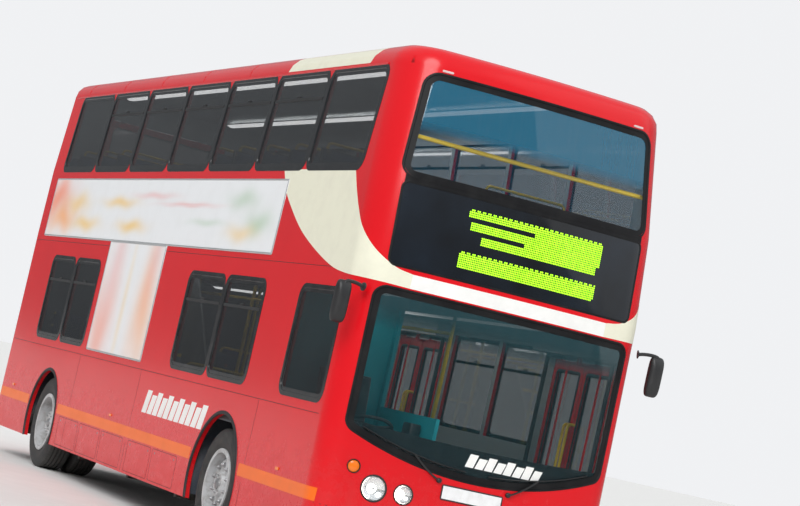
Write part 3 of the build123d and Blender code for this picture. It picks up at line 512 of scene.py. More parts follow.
def tinted(name, colour, alpha, top=None):
    """Tinted glass: the body colour is seen where the glass is not clear, and dust lies in faint
    clouds and rain streaks. top adds a deeper band: where it starts, where it is full, its share.
    On the front glass this band is a sunshade tint and also a painted reflection of the sky."""
    m, tree, shader, place = begin(name)
    streaks = add(tree, "Mapping", {"Vector": place, "Scale": (9, 9, 0.8)}).outputs[0]
    dust = mapped(tree, noise(tree, streaks, 2.0, 6.0, 0.65), 0.45, 0.80, 0.0, 0.035)
    put(shader, "Base Color", mixed(tree, dust, colour, (0.32, 0.31, 0.29)))
    put(shader, "Roughness", mapped(tree, dust, 0, 0.035, 0.02, 0.07))
    put(shader, "IOR", 1.52)
    put(shader, "Specular IOR Level", 0.75)
    if top is None:
        put(shader, "Alpha", alpha)
    else:
        height = add(tree, "SeparateXYZ", {"Vector": place}).outputs["Z"]
        put(shader, "Alpha", mapped(tree, height, top[0], top[1], alpha, top[2]))
    return m


def rubber(name, colour=(0.012, 0.012, 0.013), rough=0.55):
    """Black moulded rubber or ceramic, matt with faint dust in a fine grain."""
    m, tree, shader, place = begin(name)
    grey = mapped(tree, noise(tree, place, 5.0, 7.0, 0.6), 0.45, 0.80, 0.0, 0.20)
    put(shader, "Base Color", mixed(tree, grey, colour, tuple(c + 0.05 for c in colour)))
    put(shader, "Roughness", mapped(tree, grey, 0, 0.20, rough, rough + 0.12))
    bumped(tree, shader, noise(tree, place, 700.0, 2.0), 0.0003, 0.2)
    return m


side_glass = tinted("side_glass_grey", (0.012, 0.014, 0.016), 0.66)
black_edge = rubber("black_glass_edge", (0.006, 0.006, 0.007), 0.18)
black_rubber = rubber("black_rubber")
formed("side_windows_lower", "glass_lower", "bus_body", side_glass)
formed("side_windows_upper", "glass_upper", "bus_body", side_glass)

LOWER_ROW = (1.370, 2.220)
# Columns: side, rear end, front end of each lower window
LOWER_WINDOWS = [
    (-1, -4.000, -3.110),
    (-1, -3.040, -2.150),
    (-1, 0.850, 1.840),
    (-1, 1.910, 2.900),
    (-1, 3.760, 4.690),
    (1, -4.000, -3.110),
    (1, -3.040, -2.150),
    (1, -2.080, -1.100),
    (1, -1.030, -0.050),
    (1, 1.450, 2.420),
    (1, 2.490, 3.440),
]
UPPER_ROW = (3.220, 4.035)
UPPER_REAR, UPPER_FRONT, UPPER_POST, UPPER_COUNT = -4.530, 4.400, 0.070, 7
UPPER_BAY = (UPPER_FRONT - UPPER_REAR + UPPER_POST) / UPPER_COUNT
upper_windows = []
for side in (-1, 1):
    for rear_end in UPPER_REAR + UPPER_BAY * np.arange(UPPER_COUNT):
        upper_windows.append((side, rear_end, rear_end + UPPER_BAY - UPPER_POST))
edges = []
for rows, (z0, z1), over in ((LOWER_WINDOWS, LOWER_ROW, 0.034), (upper_windows, UPPER_ROW, 0.036)):
    for side, x0, x1 in rows:
        outline = rounded(x0 + 0.03, x1 - 0.03, z0 + 0.03, z1 - 0.03, 0.055)
        strip = [(-0.004, -0.0045), (0.031, -0.0045), (0.031, 0.0), (0.030 + over, 0.0)]
        strip += [(0.030 + over, 0.0022), (0.028, 0.0022), (0.024, -0.0035), (-0.004, -0.0035)]
        edges.append(bead("edge", outline, strip, on_side(side)))
join("window_edges_black", coat(edges, black_edge), "bus_body")

# Hopper windows: the upper fifth of most side windows is a separate pane that tips inward,
# divided from the fixed glass by a black aluminium bar with a small finger catch.
# The cab window and the first and last windows of the upper deck have none.
bars = []
opening = [row for row in LOWER_WINDOWS if row[1] < 3.7]
opening_above = [row for i, row in enumerate(upper_windows) if i % UPPER_COUNT not in (0, UPPER_COUNT - 1)]
for rows, level in ((opening, LOWER_ROW[1] - 0.235), (opening_above, UPPER_ROW[1] - 0.215)):
    for side, x0, x1 in rows:
        x = np.linspace(x0 + 0.028, x1 - 0.028, 5)
        bars.append(run_on_side("bar", x, level, bar_section(0.026, -0.006, -0.0005), side))
        mid = (x0 + x1) / 2
        catch = rounded(mid - 0.045, mid + 0.045, level + 0.016, level + 0.032, 0.006, 4)
        hood = [(-0.006, -0.006), (0.001, -0.006), (0.001, -0.001), (-0.001, 0.001), (-0.006, 0.001)]
        bars.append(bead("catch", catch, hood, on_side(side)))
join("hopper_bars", coat(bars, black_rubber), "bus_body")

# The livery is self-adhesive vinyl, laid on the enamel and cut along smooth curves. A cream horn
# falls from under the upper windows and runs into the white band that crosses the front.
def k_round(x, z, side):
    """Outline parameter of a distance x along the side. Past the side's front end, x goes on
    round the corner and over the front as a length of arc."""
    x, z = np.broadcast_arrays(np.asarray(x, float), np.asarray(z, float))
    half, front, corner = (np.interp(z, ROWS[:6, 0], ROWS[:6, i]) for i in (1, 2, 3))
    turn = np.arcsin((half - corner) / (FRONT_SWEEP - corner))
    start = front - FRONT_SWEEP + (FRONT_SWEEP - corner) * np.cos(turn)
    bend = corner * (math.pi / 2 - turn)
    past = x - start
    k = np.where(past < bend, 2 - past / bend, 1 - (past - bend) / (FRONT_SWEEP * turn))
    return np.where(past < 0, k_side(x, z, side), side * k)


def smooth_line(knots, n):
    """Catmull-Rom curve through the knots, n samples evenly spread over its parameter."""
    p = np.asarray(knots, float)
    p = np.vstack([2 * p[0] - p[1], p, 2 * p[-1] - p[-2]])
    t = np.linspace(0, len(p) - 3 - 1e-9, n)
    i = t.astype(int)
    f = (t - i)[:, None]
    a, b, c, d = p[i], p[i + 1], p[i + 2], p[i + 3]
    return 0.5 * (2 * b + (c - a) * f + (2 * a - 5 * b + 4 * c - d) * f**2 + (3 * b - a - 3 * c + d) * f**3)


def vinyl(name, colour):
    """Vinyl sheet: satin, with faint grey road film in clouds and a very slight ripple."""
    m, tree, shader, place = begin(name)
    film = mapped(tree, noise(tree, place, 5.0, 7.0, 0.65), 0.45, 0.8, 0, 0.16)
    put(shader, "Base Color", mixed(tree, film, colour, (0.35, 0.32, 0.29)))
    put(shader, "Roughness", mapped(tree, film, 0, 0.16, 0.32, 0.52))
    put(shader, "Specular IOR Level", 0.3)
    bumped(tree, shader, noise(tree, place, 60.0, 3.0), 0.0004, 0.15)
    return m


cream = vinyl("cream_vinyl", (0.80, 0.79, 0.64))
white = vinyl("white_vinyl", (0.86, 0.86, 0.84))
orange = vinyl("orange_vinyl", (0.88, 0.150, 0.006))
SHEET_OUT, SHEET_THICK = 0.0016, 0.0014
BAND_START, BAND_LOW, BAND_TOP = 5.25, 2.345, 2.455
# Columns: distance along the side, then round the corner, and height
HORN_REAR = [
    (2.68, 3.196),
    (2.80, 3.06),
    (2.98, 2.92),
    (3.48, 2.66),
    (4.16, 2.44),
    (4.62, 2.365),
    (BAND_START, BAND_LOW),
]
HORN_FRONT = [
    (4.31, 3.196),
    (4.41, 3.06),
    (4.55, 2.90),
    (4.72, 2.74),
    (4.92, 2.58),
    (5.10, 2.485),
    (BAND_START, BAND_TOP),
]
rear_edge, front_edge = smooth_line(HORN_REAR, 121)[:, None], smooth_line(HORN_FRONT, 121)[:, None]
share = np.linspace(0, 1, 49)[None, :, None]
x, z = np.moveaxis(rear_edge * (1 - share) + front_edge * share, -1, 0)
parts = [slab("horn", k_round(x, z, side), z, SHEET_OUT, SHEET_THICK) for side in (-1, 1)]
join("cream_horns", coat(parts, cream), "bus_body")
edge = float(k_round(BAND_START, 2.4, 1))
along, up = np.linspace(-edge, edge, 61), np.linspace(BAND_LOW, BAND_TOP, 5)
band = slab("white_front_band", *np.meshgrid(along, up, indexing="ij"), SHEET_OUT, SHEET_THICK)
band.data.materials.append(white)
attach(band, "bus_body")

# The cream comes back on the roof's eave above the horn, as one more sheet of vinyl stuck to the
# enamel. Its ends slope forward.
EAVE_LOW, EAVE_TOP = 4.088, 4.243
along, up = np.linspace(2.05, 3.95, 30), np.linspace(EAVE_LOW, EAVE_TOP, 14)
x, z = np.meshgrid(along, up, indexing="ij")
x = x + (z - EAVE_LOW) * 0.6
parts = [slab("patch", k_side(x, z, side), z, SHEET_OUT, SHEET_THICK) for side in (-1, 1)]
join("cream_eave_patches", coat(parts, cream), "bus_body")

# The skirt's orange line is one more vinyl strip. It stops at the wheel arches and the doorways,
# and runs on round the front corners.
ORANGE_LOW, ORANGE_TOP = 0.610, 0.712
ORANGE_RUNS = {
    -1: [(-4.93, -3.70), (-2.50, 1.96), (3.24, 4.93)],
    1: [(-4.93, -3.70), (-2.50, 0.15), (1.31, 1.96), (3.24, 3.55)],
}
parts = []
for side, runs in ORANGE_RUNS.items():
    for x0, x1 in runs:
        along = np.linspace(x0, x1, int((x1 - x0) / 0.02))
        x, z = np.meshgrid(along, np.linspace(ORANGE_LOW, ORANGE_TOP, 4), indexing="ij")
        parts.append(slab("line", k_round(x, z, side), z, SHEET_OUT, SHEET_THICK))
join("orange_skirt_line", coat(parts, orange), "bus_body")

# Side advertisement: a printed sheet in an aluminium edge frame between the decks, with a strip
# that drops between two windows. The print is plain soft colour fields.
AD_X, AD_Z = (-4.64, 2.86), (2.465, 3.105)
DROP_X, DROP_Z = (-1.94, -0.06), (1.335, 2.465)


def printed(name, x0, x1, z0, z1, nx, nz, spots):
    """A print sheet on the offside. Each spot adds its colour with a bell curve of its own width
    and height about its centre, spread sideways as flat brush strokes are."""
    x, z = np.meshgrid(np.linspace(x0, x1, nx), np.linspace(z0, z1, nz), indexing="ij")
    o = slab(name, k_side(x, z, -1), z, 0.004, 0.0038)
    co = np.zeros(len(o.data.vertices) * 3)
    o.data.vertices.foreach_get("co", co)
    co = co.reshape(-1, 3)
    ink = np.tile(np.array(PALE), (len(co), 1))
    for cx, cz, wx, wz, share, colour in spots:
        wave = 0.25 * wz * np.sin(co[:, 0] * 9 + cz * 30)
        bell = share * np.exp(-(((co[:, 0] - cx) / wx) ** 2) - ((co[:, 2] + wave - cz) / wz) ** 2)
        ink = ink * (1 - bell[:, None]) + np.array(colour) * bell[:, None]
    layer = o.data.color_attributes.new("ink", "FLOAT_COLOR", "POINT")
    layer.data.foreach_set("color", np.c_[ink, np.ones(len(ink))].ravel())
    return o


print_sheet, tree, shader, place = begin("printed_sheet")
ink = add(tree, "Attribute", attribute_name="ink").outputs["Color"]
film = mapped(tree, noise(tree, place, 4.0, 7.0, 0.65), 0.45, 0.8, 0, 0.10)
put(shader, "Base Color", mixed(tree, film, ink, (0.42, 0.40, 0.38)))
put(shader, "Roughness", 0.4)
put(shader, "Specular IOR Level", 0.3)
bumped(tree, shader, noise(tree, place, 40.0, 3.0), 0.0005, 0.15)
PALE, PEACH, APRICOT, GOLD, LEAF_GREEN, ROSE = (
    (0.80, 0.82, 0.84),
    (0.88, 0.26, 0.14),
    (0.90, 0.38, 0.10),
    (0.86, 0.54, 0.09),
    (0.30, 0.50, 0.28),
    (0.80, 0.30, 0.28),
)
# Columns: centre x and z, half width, half height, share, colour
AD_SPOTS = [
    (-4.45, 2.90, 0.55, 0.22, 0.85, PEACH),
    (-4.05, 2.66, 0.50, 0.14, 0.75, APRICOT),
    (-3.55, 2.84, 0.40, 0.10, 0.60, GOLD),
    (-3.10, 2.62, 0.45, 0.07, 0.70, GOLD),
    (-1.95, 2.86, 0.50, 0.05, 0.70, GOLD),
    (-1.40, 2.62, 0.42, 0.06, 0.75, GOLD),
    (-0.80, 2.94, 0.60, 0.03, 0.45, ROSE),
    (0.30, 2.86, 0.75, 0.02, 0.55, ROSE),
    (0.95, 2.70, 0.45, 0.03, 0.35, LEAF_GREEN),
    (1.85, 2.92, 0.35, 0.08, 0.45, LEAF_GREEN),
    (2.35, 2.72, 0.30, 0.10, 0.55, LEAF_GREEN),
    (1.95, 2.62, 0.35, 0.07, 0.50, GOLD),
]
DROP_SPOTS = [
    (-1.65, 1.60, 0.34, 0.50, 0.60, PEACH),
    (-1.55, 2.25, 0.20, 0.50, 0.35, ROSE),
    (-0.35, 1.75, 0.30, 0.55, 0.60, APRICOT),
    (-0.30, 2.30, 0.18, 0.50, 0.35, ROSE),
    (-1.02, 1.70, 0.07, 0.60, 0.30, GOLD),
]
sheets = [
    printed("sheet", *AD_X, *AD_Z, 260, 33, AD_SPOTS),
    printed("sheet", *DROP_X, *DROP_Z, 80, 48, DROP_SPOTS),
]
join("advertisement_sheet", coat(sheets, print_sheet), "bus_body")

aluminium, tree, shader, place = begin("brushed_aluminium")
along = add(tree, "Mapping", {"Vector": place, "Scale": (4, 60, 200)}).outputs[0]
lines = noise(tree, along, 3.0, 4.0)
light = mapped(tree, lines, 0.3, 0.7, 0, 1)
put(shader, "Base Color", mixed(tree, light, (0.52, 0.53, 0.54), (0.66, 0.67, 0.68)))
put(shader, "Roughness", mapped(tree, lines, 0.3, 0.7, 0.32, 0.5))
put(shader, "Metallic", 0.9)
frames = []
for x0, x1, z0, z1 in ((*AD_X, *AD_Z), (*DROP_X, DROP_Z[0], DROP_Z[1] - 0.012)):
    path = rounded(x0, x1, z0, z1, 0.012, 4)
    frames.append(bead("edge", path, bead_section(0.020, 0.0, 0.008), on_side(-1)))
join("advertisement_frame", coat(frames, aluminium), "bus_body")

# Plain white vinyl strokes stand where the operator's lettering would be, and show no words. They
# end just behind the front wheel arch.
parts = []
u, v = np.meshgrid(np.linspace(0, 1, 4), np.linspace(0, 1, 3), indexing="ij")
for i in range(11):
    z = 0.880 + v * (0.215 - 0.035 * (i % 2))
    x = 2.095 - i * 0.163 - u * 0.135 + v * 0.075
    parts.append(slab("stroke", k_side(x, z, -1), z, SHEET_OUT, SHEET_THICK))
join("white_side_strokes", coat(parts, white), "bus_body")

# The windscreen is one large curved laminated glass, bonded in and edged in black. Its lower edge
# is an arc. Above it are the sign glass and the raked upper window, joined by a black cover strip.
SCREEN_HALF, SCREEN_LOW, SCREEN_SAG, SCREEN_TOP = 1.110, 1.000, 0.225, 2.320
SCREEN_RADIUS = (SCREEN_HALF**2 + SCREEN_SAG**2) / (2 * SCREEN_SAG)


def screen_foot(y):
    """Height of the windscreen's lower arc at y."""
    return SCREEN_LOW + SCREEN_RADIUS - np.sqrt(SCREEN_RADIUS**2 - y**2)


def screen_outline():
    """The windscreen's outline: a wide arc below with its ends rounded into straight sides."""
    top, r = SCREEN_TOP, 0.090
    cz = SCREEN_LOW + SCREEN_RADIUS
    kx = SCREEN_HALF - r
    kz = cz - math.sqrt((SCREEN_RADIUS - r) ** 2 - kx**2)
    tip = math.atan2(kz - cz, kx)
    a = np.linspace(-math.pi - tip, tip, 60)
    arc = np.c_[SCREEN_RADIUS * np.cos(a), cz + SCREEN_RADIUS * np.sin(a)]
    b = np.linspace(tip, 0, 8)[1:]
    corner = np.c_[kx + r * np.cos(b), kz + r * np.sin(b)]
    c = np.linspace(0, math.pi / 2, 8)
    upper = np.c_[kx + r * np.cos(c), top - r + r * np.sin(c)]
    rise = corner[-1] + (upper[0] - corner[-1]) * np.linspace(0, 1, 7)[1:-1, None]
    half = np.vstack([corner, rise, upper])
    across = np.c_[np.linspace(kx, -kx, 24)[1:-1], np.full(22, top)]
    return np.vstack([arc, half, across, (half * [-1, 1])[::-1]])


def upper_window_outline():
    """The upper front window: sides that lean in, all four corners rounded."""
    path = rounded(-1.050, 1.050, 3.190, 4.030, 0.110, 7, 0.10)
    lean = 1 + (3.61 - path[:, 1]) / 0.84 * 0.08 / 1.05
    return np.c_[path[:, 0] * lean, path[:, 1]]


# The windscreen's teal and the upper front window's blue, deepest in a band at the top of each, are partly
# the glass's tint and sunshade band and partly a painted reflection of the sky.
screen_glass = tinted("windscreen_glass", (0.012, 0.046, 0.056), 0.20, top=(2.00, 2.20, 0.90))
upper_glass = tinted("upper_front_glass", (0.003, 0.110, 0.195), 0.10, top=(3.560, 3.640, 0.82))
formed("windscreen_pane", "windscreen", "bus_body", screen_glass)
formed("upper_front_pane", "front_upper_glass", "bus_body", upper_glass)


def edge_section(inside, outside):
    """Section of a bonded glass edge: a black print behind the glass, a rubber lip outside."""
    return [
        (-inside, -0.0050),
        (0.001, -0.0050),
        (0.001, 0.0),
        (outside, 0.0),
        (outside, 0.0020),
        (outside * 0.5, 0.0035),
        (-0.002, 0.0025),
        (-0.006, -0.0038),
        (-inside, -0.0038),
    ]


parts = [
    bead("edge", screen_outline(), edge_section(0.050, 0.014), on_front),
    bead("edge", upper_window_outline(), edge_section(0.048, 0.014), on_front),
    bead("edge", rounded(-1.058, 1.058, 2.502, 3.148, 0.050, 6, 0.10), edge_section(0.030, 0.014), on_front),
]
y, z = np.meshgrid(np.linspace(-1.055, 1.055, 41), np.linspace(3.140, 3.205, 5), indexing="ij")
parts.append(slab("cover", k_front(y, z), z, 0.0022, 0.003))
front_print = rubber("black_front_edge", (0.006, 0.006, 0.007), 0.48)
put(front_print.node_tree.nodes["Principled BSDF"], "Specular IOR Level", 0.2)
join("front_glass_edges", coat(parts, front_print), "bus_body")

# A dark print fills the arc at the foot of the windscreen, up to a nearly level line. It hides the
# wiper gear and the dash edge, and plain white strokes stand on it where the name would be.
FOOT_TOP, FOOT_BOW = 1.250, 0.030
u, v = np.meshgrid(np.linspace(-1, 1, 61), np.linspace(0, 1, 10), indexing="ij")
y = u * 1.085
arc = screen_foot(y) + 0.020
z = arc + v * (FOOT_TOP + FOOT_BOW * u**2 - arc)
foot = slab("windscreen_foot_print", k_front(y, z), z, -0.0146, 0.002)
foot.data.materials.append(black_edge)
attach(foot, "bus_body")
parts = []
u, v = np.meshgrid(np.linspace(0, 1, 4), np.linspace(0, 1, 3), indexing="ij")
for i in range(8):
    y = -0.110 + i * 0.083 + u * 0.071 + v * 0.030
    z = 1.112 + v * (0.104 - 0.020 * (i % 2))
    parts.append(slab("stroke", k_front(y, z), z, -0.0040, 0.001))
join("white_front_strokes", coat(parts, white), "bus_body")

# Destination sign: dark glass with a matrix of lime dots behind it. The dots show three plain
# lines that run together, over one thick line, and no words.
sign_glass, tree, shader, place = begin("sign_glass")
drift = mapped(tree, noise(tree, place, 1.5, 3.0), 0.3, 0.7, 0, 1)
put(shader, "Base Color", mixed(tree, drift, (0.004, 0.005, 0.007), (0.010, 0.016, 0.026)))
put(shader, "Roughness", mapped(tree, noise(tree, place, 7.0, 5.0), 0.4, 0.7, 0.05, 0.16))
put(shader, "IOR", 1.5)
formed("sign_pane", "sign_panel", "bus_body", sign_glass)
lime, tree, shader, place = begin("lime_sign_dots")
glow = mapped(tree, noise(tree, place, 30.0, 2.0), 0.3, 0.7, 0.0, 1.0)
tint = mixed(tree, glow, (0.32, 0.86, 0.004), (0.46, 0.95, 0.02))
put(shader, "Base Color", tint)
put(shader, "Emission Color", tint)
put(shader, "Emission Strength", 0.95)
put(shader, "Roughness", 0.6)
PITCH_Y, PITCH_Z, DOT = 0.0152, 0.0165, 0.0071


def lit_lines(columns, rows, spans):
    """Which dots are lit: each span lights its rows between two columns. The right end is
    rounded, and every third column starts a dot lower."""
    c, r = np.meshgrid(np.arange(columns), np.arange(rows), indexing="ij")
    lit = np.zeros((columns, rows), bool)
    for low, high, start, end in spans:
        lit |= (r >= low) & (r < high) & (c >= start) & (c < end)
    corner = c - columns + 4 + np.abs(r - rows / 2) > rows / 2 + 2
    ragged = (c % 3 == 0) & (r == rows - 1)
    return lit & ~corner & ~ragged


UPPER_LINES = [(12, 16, 0, 79), (6, 10, 2, 79), (0, 4, 9, 77), (10, 12, 38, 79), (4, 6, 33, 79)]
dots = []
for y0, z0, lit in (
    (-0.50, 2.805, lit_lines(79, 16, UPPER_LINES)),
    (-0.52, 2.600, lit_lines(80, 8, [(0, 8, 0, 80)])),
):
    c, r = np.nonzero(lit)
    i = np.arange(8)
    j = (i + 1) % 8
    ring_y = (y0 + c * PITCH_Y)[:, None] + DOT * np.cos(i * math.pi / 4)
    ring_z = (z0 + r * PITCH_Z)[:, None] + DOT * np.sin(i * math.pi / 4)
    both = [on_front(ring_y, ring_z, out) for out in (0.0012, 0.0002)]
    verts = np.concatenate(both, 1).reshape(-1, 3)
    base = (np.arange(len(c)) * 16)[:, None]
    top, bottom = base + i, base + 15 - i
    sides = np.stack([base + i, base + j, base + 8 + j, base + 8 + i], -1).reshape(-1, 4)
    mesh = bpy.data.meshes.new("dots")
    mesh.from_pydata(verts.tolist(), [], top.tolist() + bottom.tolist() + sides.tolist())
    dots.append(finish_mesh("dots", mesh, smooth=False))
join("sign_dots", coat(dots, lime), "bus_body")

# Head lamps: a plated bowl and bulb behind a clear domed lens, held by a black bezel. The
# indicators are orange domes of the same build.
def lamp(name, y, z, radius, out_of_r, thick, face=on_front, n=40, m=9, hole=0.0):
    """A round dish on the skin, swept about its centre: out_of_r gives its height above the skin
    at each share of the radius. thick is laid inward to close it."""
    a = np.arange(n) * 2 * math.pi / n
    s = np.linspace(hole, 1, m)
    rr, aa = np.meshgrid(s, a, indexing="ij")
    yy, zz = y + radius * rr * np.cos(aa), z + radius * rr * np.sin(aa)
    outer = face(yy, zz, out_of_r(rr))
    inner = face(yy, zz, out_of_r(rr) - thick)
    if hole == 0:
        outer[0], inner[0] = outer[0].mean(0), inner[0].mean(0)
    p = np.concatenate([outer, inner[::-1]])
    return surface(name, p, wrap_u=hole > 0, wrap_v=True)


def bezel(y, z, radius, hole, low, rise, thick, **how):
    """The ring round a lamp: it starts low above the skin and swells between its two edges."""
    swell = lambda s: low + rise * np.sin((s - hole) / (1 - hole) * math.pi)
    return lamp("bezel", y, z, radius, swell, thick, m=7, hole=hole, **how)


def domed(edge, rise):
    """Height of a round dish: edge at its rim, and higher by rise in the middle."""
    return lambda s: edge + rise * (1 - s**2)


def clear_plastic(name, colour, alpha):
    """Moulded lens: clear or coloured, with fine vertical flutes and a little haze."""
    m, tree, shader, place = begin(name)
    haze = mapped(tree, noise(tree, place, 12.0, 4.0), 0.4, 0.7, 0.0, 0.10)
    dull = tuple(min(1, c * 0.75 + 0.08) for c in colour)
    put(shader, "Base Color", mixed(tree, haze, colour, dull))
    put(shader, "Roughness", mapped(tree, haze, 0, 0.10, 0.03, 0.08))
    put(shader, "Alpha", alpha)
    flutes = {"Vector": place, "Scale": 55.0, "Distortion": 0.0}
    wave = add(tree, "TexWave", flutes, bands_direction="Y").outputs[1]
    bumped(tree, shader, wave, 0.0010, 0.35)
    return m


chrome, tree, shader, place = begin("plated_reflector")
plating = noise(tree, place, 20.0, 3.0)
put(shader, "Roughness", mapped(tree, plating, 0.3, 0.7, 0.06, 0.12))
put(shader, "Base Color", mixed(tree, plating, (0.80, 0.81, 0.83), (0.90, 0.90, 0.91)))
put(shader, "Metallic", 1.0)
clear_lens = clear_plastic("clear_lens", (0.55, 0.58, 0.60), 0.10)
orange_lens = clear_plastic("orange_lens", (0.92, 0.20, 0.01), 0.95)
bulb_glow, tree, shader, place = begin("bulb_glow")
warm = mapped(tree, noise(tree, place, 40.0, 2.0), 0.3, 0.7, 0, 1)
warm = mixed(tree, warm, (1.0, 0.88, 0.66), (1.0, 0.96, 0.86))
put(shader, "Base Color", warm)
put(shader, "Emission Color", warm)
put(shader, "Emission Strength", 6.0)
put(shader, "Roughness", 0.3)
# Columns: y, z, radius and whether it is an indicator
LAMPS = [(0.800, 0.800, 0.100, False), (0.560, 0.800, 0.075, False), (0.985, 0.935, 0.048, True)]
parts = []
for side in (-1, 1):
    for y, z, r, turn in LAMPS:
        y = side * y
        rim = bezel(y, z, r + 0.006, 0.86, 0.001, 0.007, 0.030, n=64)
        inside = r * 0.93
        lens = lamp("lens", y, z, inside, domed(-0.004, 0.009), 0.003, n=64, m=12)
        parts += coat([rim], black_rubber) + coat([lens], orange_lens if turn else clear_lens)
        if turn:
            parts += coat([lamp("bowl", y, z, inside, domed(-0.012, -0.012), 0.002)], chrome)
            continue
        dish = lambda s: -0.008 - 0.036 * (1 - s**2) ** 0.8
        bowl = lamp("bowl", y, z, inside, dish, 0.002, n=64, m=14)
        ball = lambda s: -0.030 + 0.017 * np.sqrt(np.maximum(1 - s**2, 0))
        bulb = lamp("bulb", y, z, r * 0.30, ball, 0.004, n=28)
        cap = lamp("cap", y, z, r * 0.12, domed(-0.010, 0.003), 0.003, n=20, m=4)
        parts += coat([bowl], chrome) + coat([bulb], bulb_glow) + coat([cap], chrome)
front_lamps = join("front_lamp_units", parts, "bus_body")
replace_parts(front_lamps, "front_lamps")

# Running gear. The tyres are city tyres with four straight grooves, short sipes along the ribs'
# edges and a thick scuff wall. The wheels are pressed steel discs under silver enamel.
FRONT_AXLE, REAR_AXLE, HUB_Z, TYRE_RADIUS = 2.600, -3.100, 0.4785, 0.4785
FRONT_TRACK, REAR_TWINS = 1.060, (1.065, 0.755)


def tyre_section():
    """Closed section of the tyre as distance from its middle and radius: the wall bulges between
    bead and shoulder, and each groove of the tread has a flat floor."""
    bulge = [(0.115, 0.302), (0.125, 0.330), (0.134, 0.362), (0.137, 0.395), (0.133, 0.430), (0.124, 0.456)]
    shoulder = [(0.116, 0.4685), (0.108, 0.4755), (0.097, 0.4780), (0.083, TYRE_RADIUS)]
    outer, inner = (
        [(w + 0.0062, TYRE_RADIUS), (w + 0.0048, 0.466), (w - 0.0048, 0.466), (w - 0.0062, TYRE_RADIUS)]
        for w in (0.062, 0.021)
    )
    tread = outer + [(0.042, TYRE_RADIUS)] + inner
    half = np.vstack([[(0.115, 0.286)], smooth_line(bulge, 15), shoulder, tread])
    return np.vstack([half, half[::-1] * [-1, 1]])


SIPE_DEPTH, LUG_DEPTH, LUG_START, RIB_MIDDLE = 0.0022, 0.0045, 0.094, 0.0415
SCUFF_RADIUS, SCUFF_HALF, SCUFF_RISE = 0.395, 0.012, 0.0018


def tyre(name, x, y):
    """One tyre: its section swept round the axle. Every third step the rib edges and the shoulder
    are cut back, which makes the sipes and lugs. A scuff ring stands on the wall."""
    n = 240
    section = tyre_section()
    a = np.arange(n) * 2 * math.pi / n
    w = np.broadcast_to(section[:, 0], (n, len(section))).copy()
    r = np.broadcast_to(section[:, 1], (n, len(section))).copy()
    cut = (np.arange(n) % 3 == 0)[:, None]
    crown = (r > TYRE_RADIUS - 0.0006) & (np.abs(np.abs(w) - RIB_MIDDLE) > 0.002)
    lug = (np.abs(w) > LUG_START) & (r > 0.455)
    r -= np.where(cut & crown, SIPE_DEPTH, 0) + np.where(cut & lug, LUG_DEPTH, 0)
    scuff = (np.abs(r - SCUFF_RADIUS) < SCUFF_HALF) & (np.abs(w) > 0.12)
    w += np.sign(w) * np.where(scuff, SCUFF_RISE, 0)
    p = points(x + r * np.cos(a)[:, None], y + w, HUB_Z + r * np.sin(a)[:, None])
    return surface(name, p, wrap_u=True, wrap_v=True)


def tyre_rubber(name, x):
    """Tyre rubber, matt all over: greyer on the worn tread than on the walls, with fine rings and dust."""
    m, tree, shader, place = begin(name)
    on_axle = {"Vector": place, "Location": (-x, 0, -HUB_Z), "Scale": (1, 0, 1)}
    centred = add(tree, "Mapping", on_axle).outputs[0]
    radius = add(tree, "VectorMath", {0: centred}, operation="LENGTH").outputs["Value"]
    worn = mapped(tree, radius, 0.462, 0.477, 0, 1)
    dust = mapped(tree, noise(tree, place, 18.0, 7.0, 0.65), 0.42, 0.72, 0.0, 0.55)
    base = mixed(tree, worn, (0.020, 0.020, 0.021), (0.040, 0.038, 0.036))
    put(shader, "Base Color", mixed(tree, dust, base, (0.105, 0.095, 0.085)))
    put(shader, "Roughness", mapped(tree, dust, 0, 0.55, 0.62, 0.9))
    rings = add(tree, "Math", {0: radius, 1: 700.0}, operation="MULTIPLY").outputs[0]
    rings = add(tree, "Math", {0: rings}, operation="SINE").outputs[0]
    grain = add(tree, "Math", {0: rings, 1: noise(tree, place, 300.0, 3.0)}, operation="ADD").outputs[0]
    bumped(tree, shader, grain, 0.0004, 0.35)
    return m


def enamel(name, colour, rough, dirt=(0.10, 0.085, 0.07), reach=(0.44, 0.70), most=0.6):
    """Satin machinery enamel over castings and pressings, with road dirt in uneven clouds."""
    m, tree, shader, place = begin(name)
    cover = mapped(tree, noise(tree, place, 9.0, 8.0, 0.68), reach[0], reach[1], 0, most)
    put(shader, "Base Color", mixed(tree, cover, colour, dirt))
    put(shader, "Roughness", mapped(tree, cover, 0, most, rough, min(rough + 0.4, 0.95)))
    put(shader, "Specular IOR Level", 0.4)
    bumped(tree, shader, noise(tree, place, 120.0, 4.0), 0.0006, 0.25)
    return m


front_rubber = tyre_rubber("tyre_rubber_front", FRONT_AXLE)
rear_rubber = tyre_rubber("tyre_rubber_rear", REAR_AXLE)
wheel_enamel = enamel("wheel_silver_enamel", (0.50, 0.51, 0.52), 0.38, dirt=(0.19, 0.165, 0.145), most=0.75)
bright_steel = enamel("bright_fastener_steel", (0.42, 0.42, 0.43), 0.30, most=0.45)
put(bright_steel.node_tree.nodes["Principled BSDF"], "Metallic", 0.8)
for side, word in ((1, "left"), (-1, "right")):
    o = tyre("tyre_front_" + word + "_tread", FRONT_AXLE, side * FRONT_TRACK)
    coat([o], front_rubber)
    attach(o, "wheel_front_" + word)
    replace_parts(o, "tyre_front_" + word)
    twins = coat([tyre("twin", REAR_AXLE, side * y) for y in REAR_TWINS], rear_rubber)
    o = join("tyres_rear_" + word + "_tread", twins, "wheel_rear_" + word)
    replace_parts(o, "tyres_rear_" + word)


